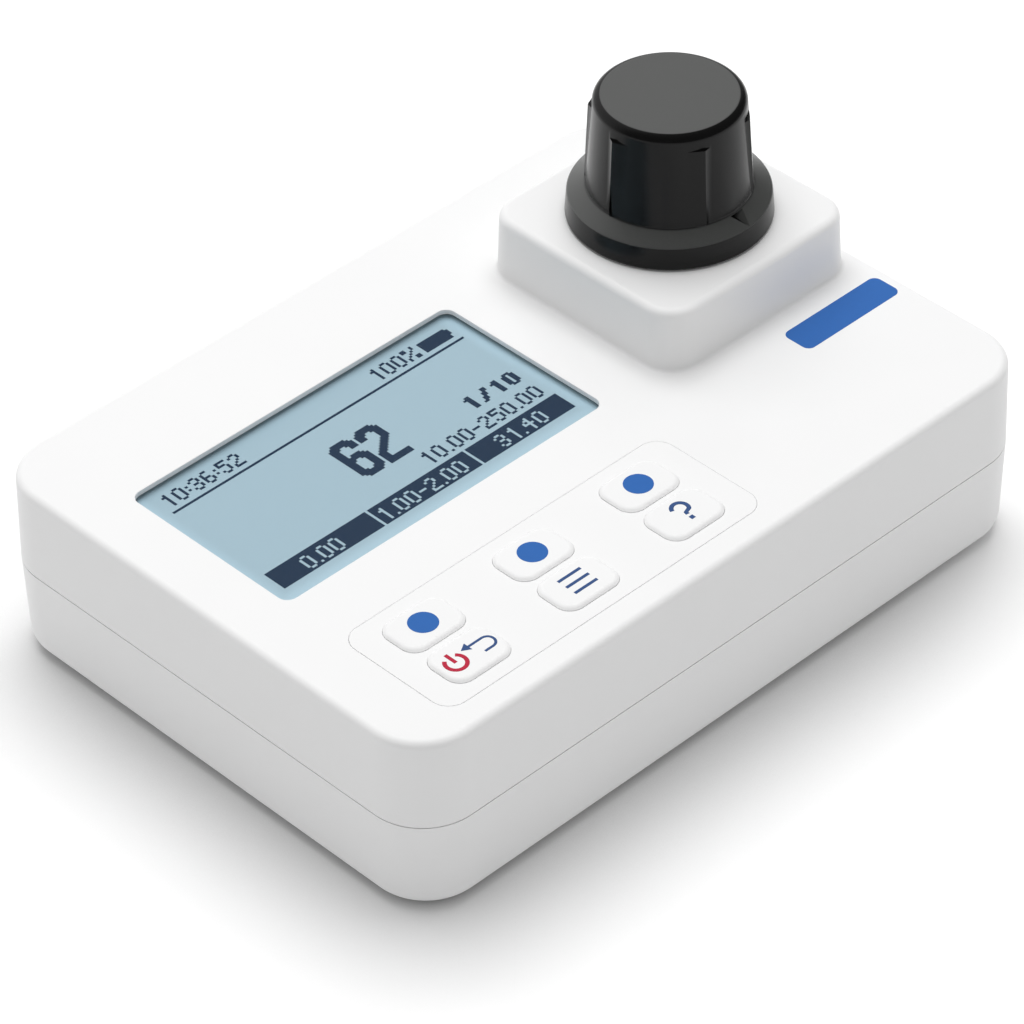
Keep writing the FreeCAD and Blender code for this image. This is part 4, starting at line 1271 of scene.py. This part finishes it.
class PHOTOMETER_OT_cap(bpy.types.Operator):
    """Model the cap with its grips, skirt and pointer"""

    bl_idname = "photometer.cap"
    bl_label = "Cap"

    def execute(self, context):
        low, top, rounding = CAP_LOW.z, CAP_HIGH.z, sizes().cap_round
        outer = [(SKIRT - 0.2 * MM, low), (SKIRT, low + 0.2 * MM)]
        outer += [(SKIRT_RIM + out * MM, SKIRT_RIM_LEVEL + up * MM)
                  for out, up in ((0.01, -0.25), (-0.07, -0.06), (-0.25, 0.09))]
        outer += [(CONE_BASE + out * MM, CONE_FOOT + up * MM)
                  for out, up in ((0.45, -0.22), (0.12, 0.0), (-0.02, 0.35))]
        outer += arc(cone_radius(top - rounding) - rounding, top - rounding, rounding, 0, 90, 12)
        inner = [(0.4 * MM, CAP_CEILING), (CAP_BORE, CAP_CEILING), (CAP_BORE, 52.4 * MM),
                 (12.7 * MM, 51.7 * MM), (SKIRT - SKIRT_WALL, SKIRT_RIM_LEVEL - SKIRT_WALL),
                 (SKIRT - SKIRT_WALL, low)]
        cap = turned("cap", inner + outer, WELL.x, WELL.y, 160)
        close_ends(cap)
        panel = grip()
        for index in range(GRIPS):
            turn = 2 * math.pi * index / GRIPS
            combine(cap, copied(panel, "grip", turn), "UNION")
        bpy.data.objects.remove(panel)
        cut(cap, pointer())
        smooth(cap, 28)
        place(cap, "cuvette_cap", "cap_black", cap_finish(colours().cap), "cuvette_cap")
        return {"FINISHED"}


class PHOTOMETER_OT_cuvette(bpy.types.Operator):
    """Model the glass cuvette"""

    bl_idname = "photometer.cuvette"
    bl_label = "Cuvette"

    def execute(self, context):
        low, high = CUVETTE_LOW.z, CUVETTE_HIGH.z
        body, neck = CUVETTE_RADIUS, NECK_RADIUS
        outer = [(body - 1.1 * MM, low)] + arc(body - 1.0 * MM, low + 1.0 * MM, 1.0 * MM, -80, 0, 6)
        outer += [(body, SHOULDER), (body - 0.35 * MM, SHOULDER + 0.7 * MM),
                  (neck + 0.5 * MM, SHOULDER + 2.2 * MM), (neck, SHOULDER + 2.9 * MM)]
        outer += [(neck, high - LIP)] + arc(neck - LIP, high - LIP, LIP, 0, 90, 4)
        inner = [(neck - NECK_WALL + 0.1 * MM, high), (neck - NECK_WALL, high - LIP),
                 (neck - NECK_WALL, SHOULDER - 0.4 * MM),
                 (body - CUVETTE_WALL - 0.2 * MM, SHOULDER - 1.2 * MM),
                 (body - CUVETTE_WALL, SHOULDER - 2.0 * MM), (body - CUVETTE_WALL, low + 2.4 * MM),
                 (body - CUVETTE_WALL - 0.8 * MM, low + 1.6 * MM)]
        glass = turned("cuvette_glass", outer + inner, WELL.x, WELL.y, 112)
        close_ends(glass)
        smooth(glass)
        place(glass, "cuvette", "cuvette_glass", clear_glass("cuvette_glass", (0.93, 0.98, 0.97)),
              "cuvette")
        return {"FINISHED"}


class PHOTOMETER_OT_inner_parts(bpy.types.Operator):
    """Give the frame's own parts inside and underneath their finishes"""

    bl_idname = "photometer.inner_parts"
    bl_label = "Inner parts"

    def execute(self, context):
        finishes = {name: moulded_plastic(name, colour, roughness, grain, depth * MM)
                    for name, colour, roughness, grain, depth in PLASTICS}
        finishes.update({
            "housing_white": case_material(),
            "gasket_rubber": rubber("gasket_rubber", 0.02),
            "screw_steel": metal("screw_steel", (0.62, 0.62, 0.63), 0.35),
            "contact_steel": metal("contact_steel", (0.72, 0.70, 0.66), 0.3),
            "sensor_metal": metal("sensor_metal", (0.55, 0.53, 0.48), 0.4),
            "optic_glass": clear_glass("optic_glass", (0.90, 0.96, 0.98)),
            "filter_glass": clear_glass("filter_glass", (0.35, 0.15, 0.45)),
        })
        slots = {row["node"]: row["material_slot"] for row in frame["record"]["subparts"]}
        for name, node in frame["nodes"].items():
            if node.hide_render:
                continue
            material = finishes[slots[name]]
            for slot in node.material_slots:
                slot.material = material
        return {"FINISHED"}


class PHOTOMETER_OT_stage(bpy.types.Operator):
    """Set up the floor, the world, the lamp and the camera"""

    bl_idname = "photometer.stage"
    bl_label = "Stage"

    def execute(self, context):
        lay_floor()
        light_world(context.scene)
        for name, spot, side, power in LAMPS:
            deselect()
            bpy.ops.object.light_add(type="AREA", location=spot)
            lamp = bpy.context.active_object
            lamp.name = name
            lamp.data.shape = "SQUARE"
            lamp.data.size = side
            lamp.data.energy = power
            lamp.visible_glossy = False
            lamp.rotation_euler = Vector(spot).to_track_quat("Z", "Y").to_euler()
        set_camera(context.scene)
        context.scene.view_settings.view_transform = "Standard"
        return {"FINISHED"}


class PHOTOMETER_PT_panel(bpy.types.Panel):
    """Lists the photometer's pieces, sizes and colours"""

    bl_idname = "PHOTOMETER_PT_panel"
    bl_label = "Photometer"
    bl_space_type = "VIEW_3D"
    bl_region_type = "UI"
    bl_category = "Photometer"

    def draw(self, context):
        for operator in OPERATORS:
            self.layout.operator(operator.bl_idname)
        for group in (sizes(), colours()):
            for name in group.bl_rna.properties.keys():
                if name not in ("rna_type", "name"):
                    self.layout.prop(group, name)


OPERATORS = (
    PHOTOMETER_OT_upper_case,
    PHOTOMETER_OT_lower_case,
    PHOTOMETER_OT_feet,
    PHOTOMETER_OT_keypad,
    PHOTOMETER_OT_key_signs,
    PHOTOMETER_OT_deck_label,
    PHOTOMETER_OT_display,
    PHOTOMETER_OT_cuvette,
    PHOTOMETER_OT_cap,
    PHOTOMETER_OT_inner_parts,
    PHOTOMETER_OT_stage,
)
CLASSES = (PhotometerSizes, PhotometerColours, *OPERATORS, PHOTOMETER_PT_panel)


def register():
    for item in CLASSES:
        bpy.utils.register_class(item)
    bpy.types.Scene.photometer_sizes = bpy.props.PointerProperty(type=PhotometerSizes)
    bpy.types.Scene.photometer_colours = bpy.props.PointerProperty(type=PhotometerColours)


def unregister():
    del bpy.types.Scene.photometer_colours
    del bpy.types.Scene.photometer_sizes
    for item in reversed(CLASSES):
        bpy.utils.unregister_class(item)


def main():
    register()
    for operator in OPERATORS:
        group, name = operator.bl_idname.split(".")
        getattr(getattr(bpy.ops, group), name)()


if __name__ == "__main__":
    main()
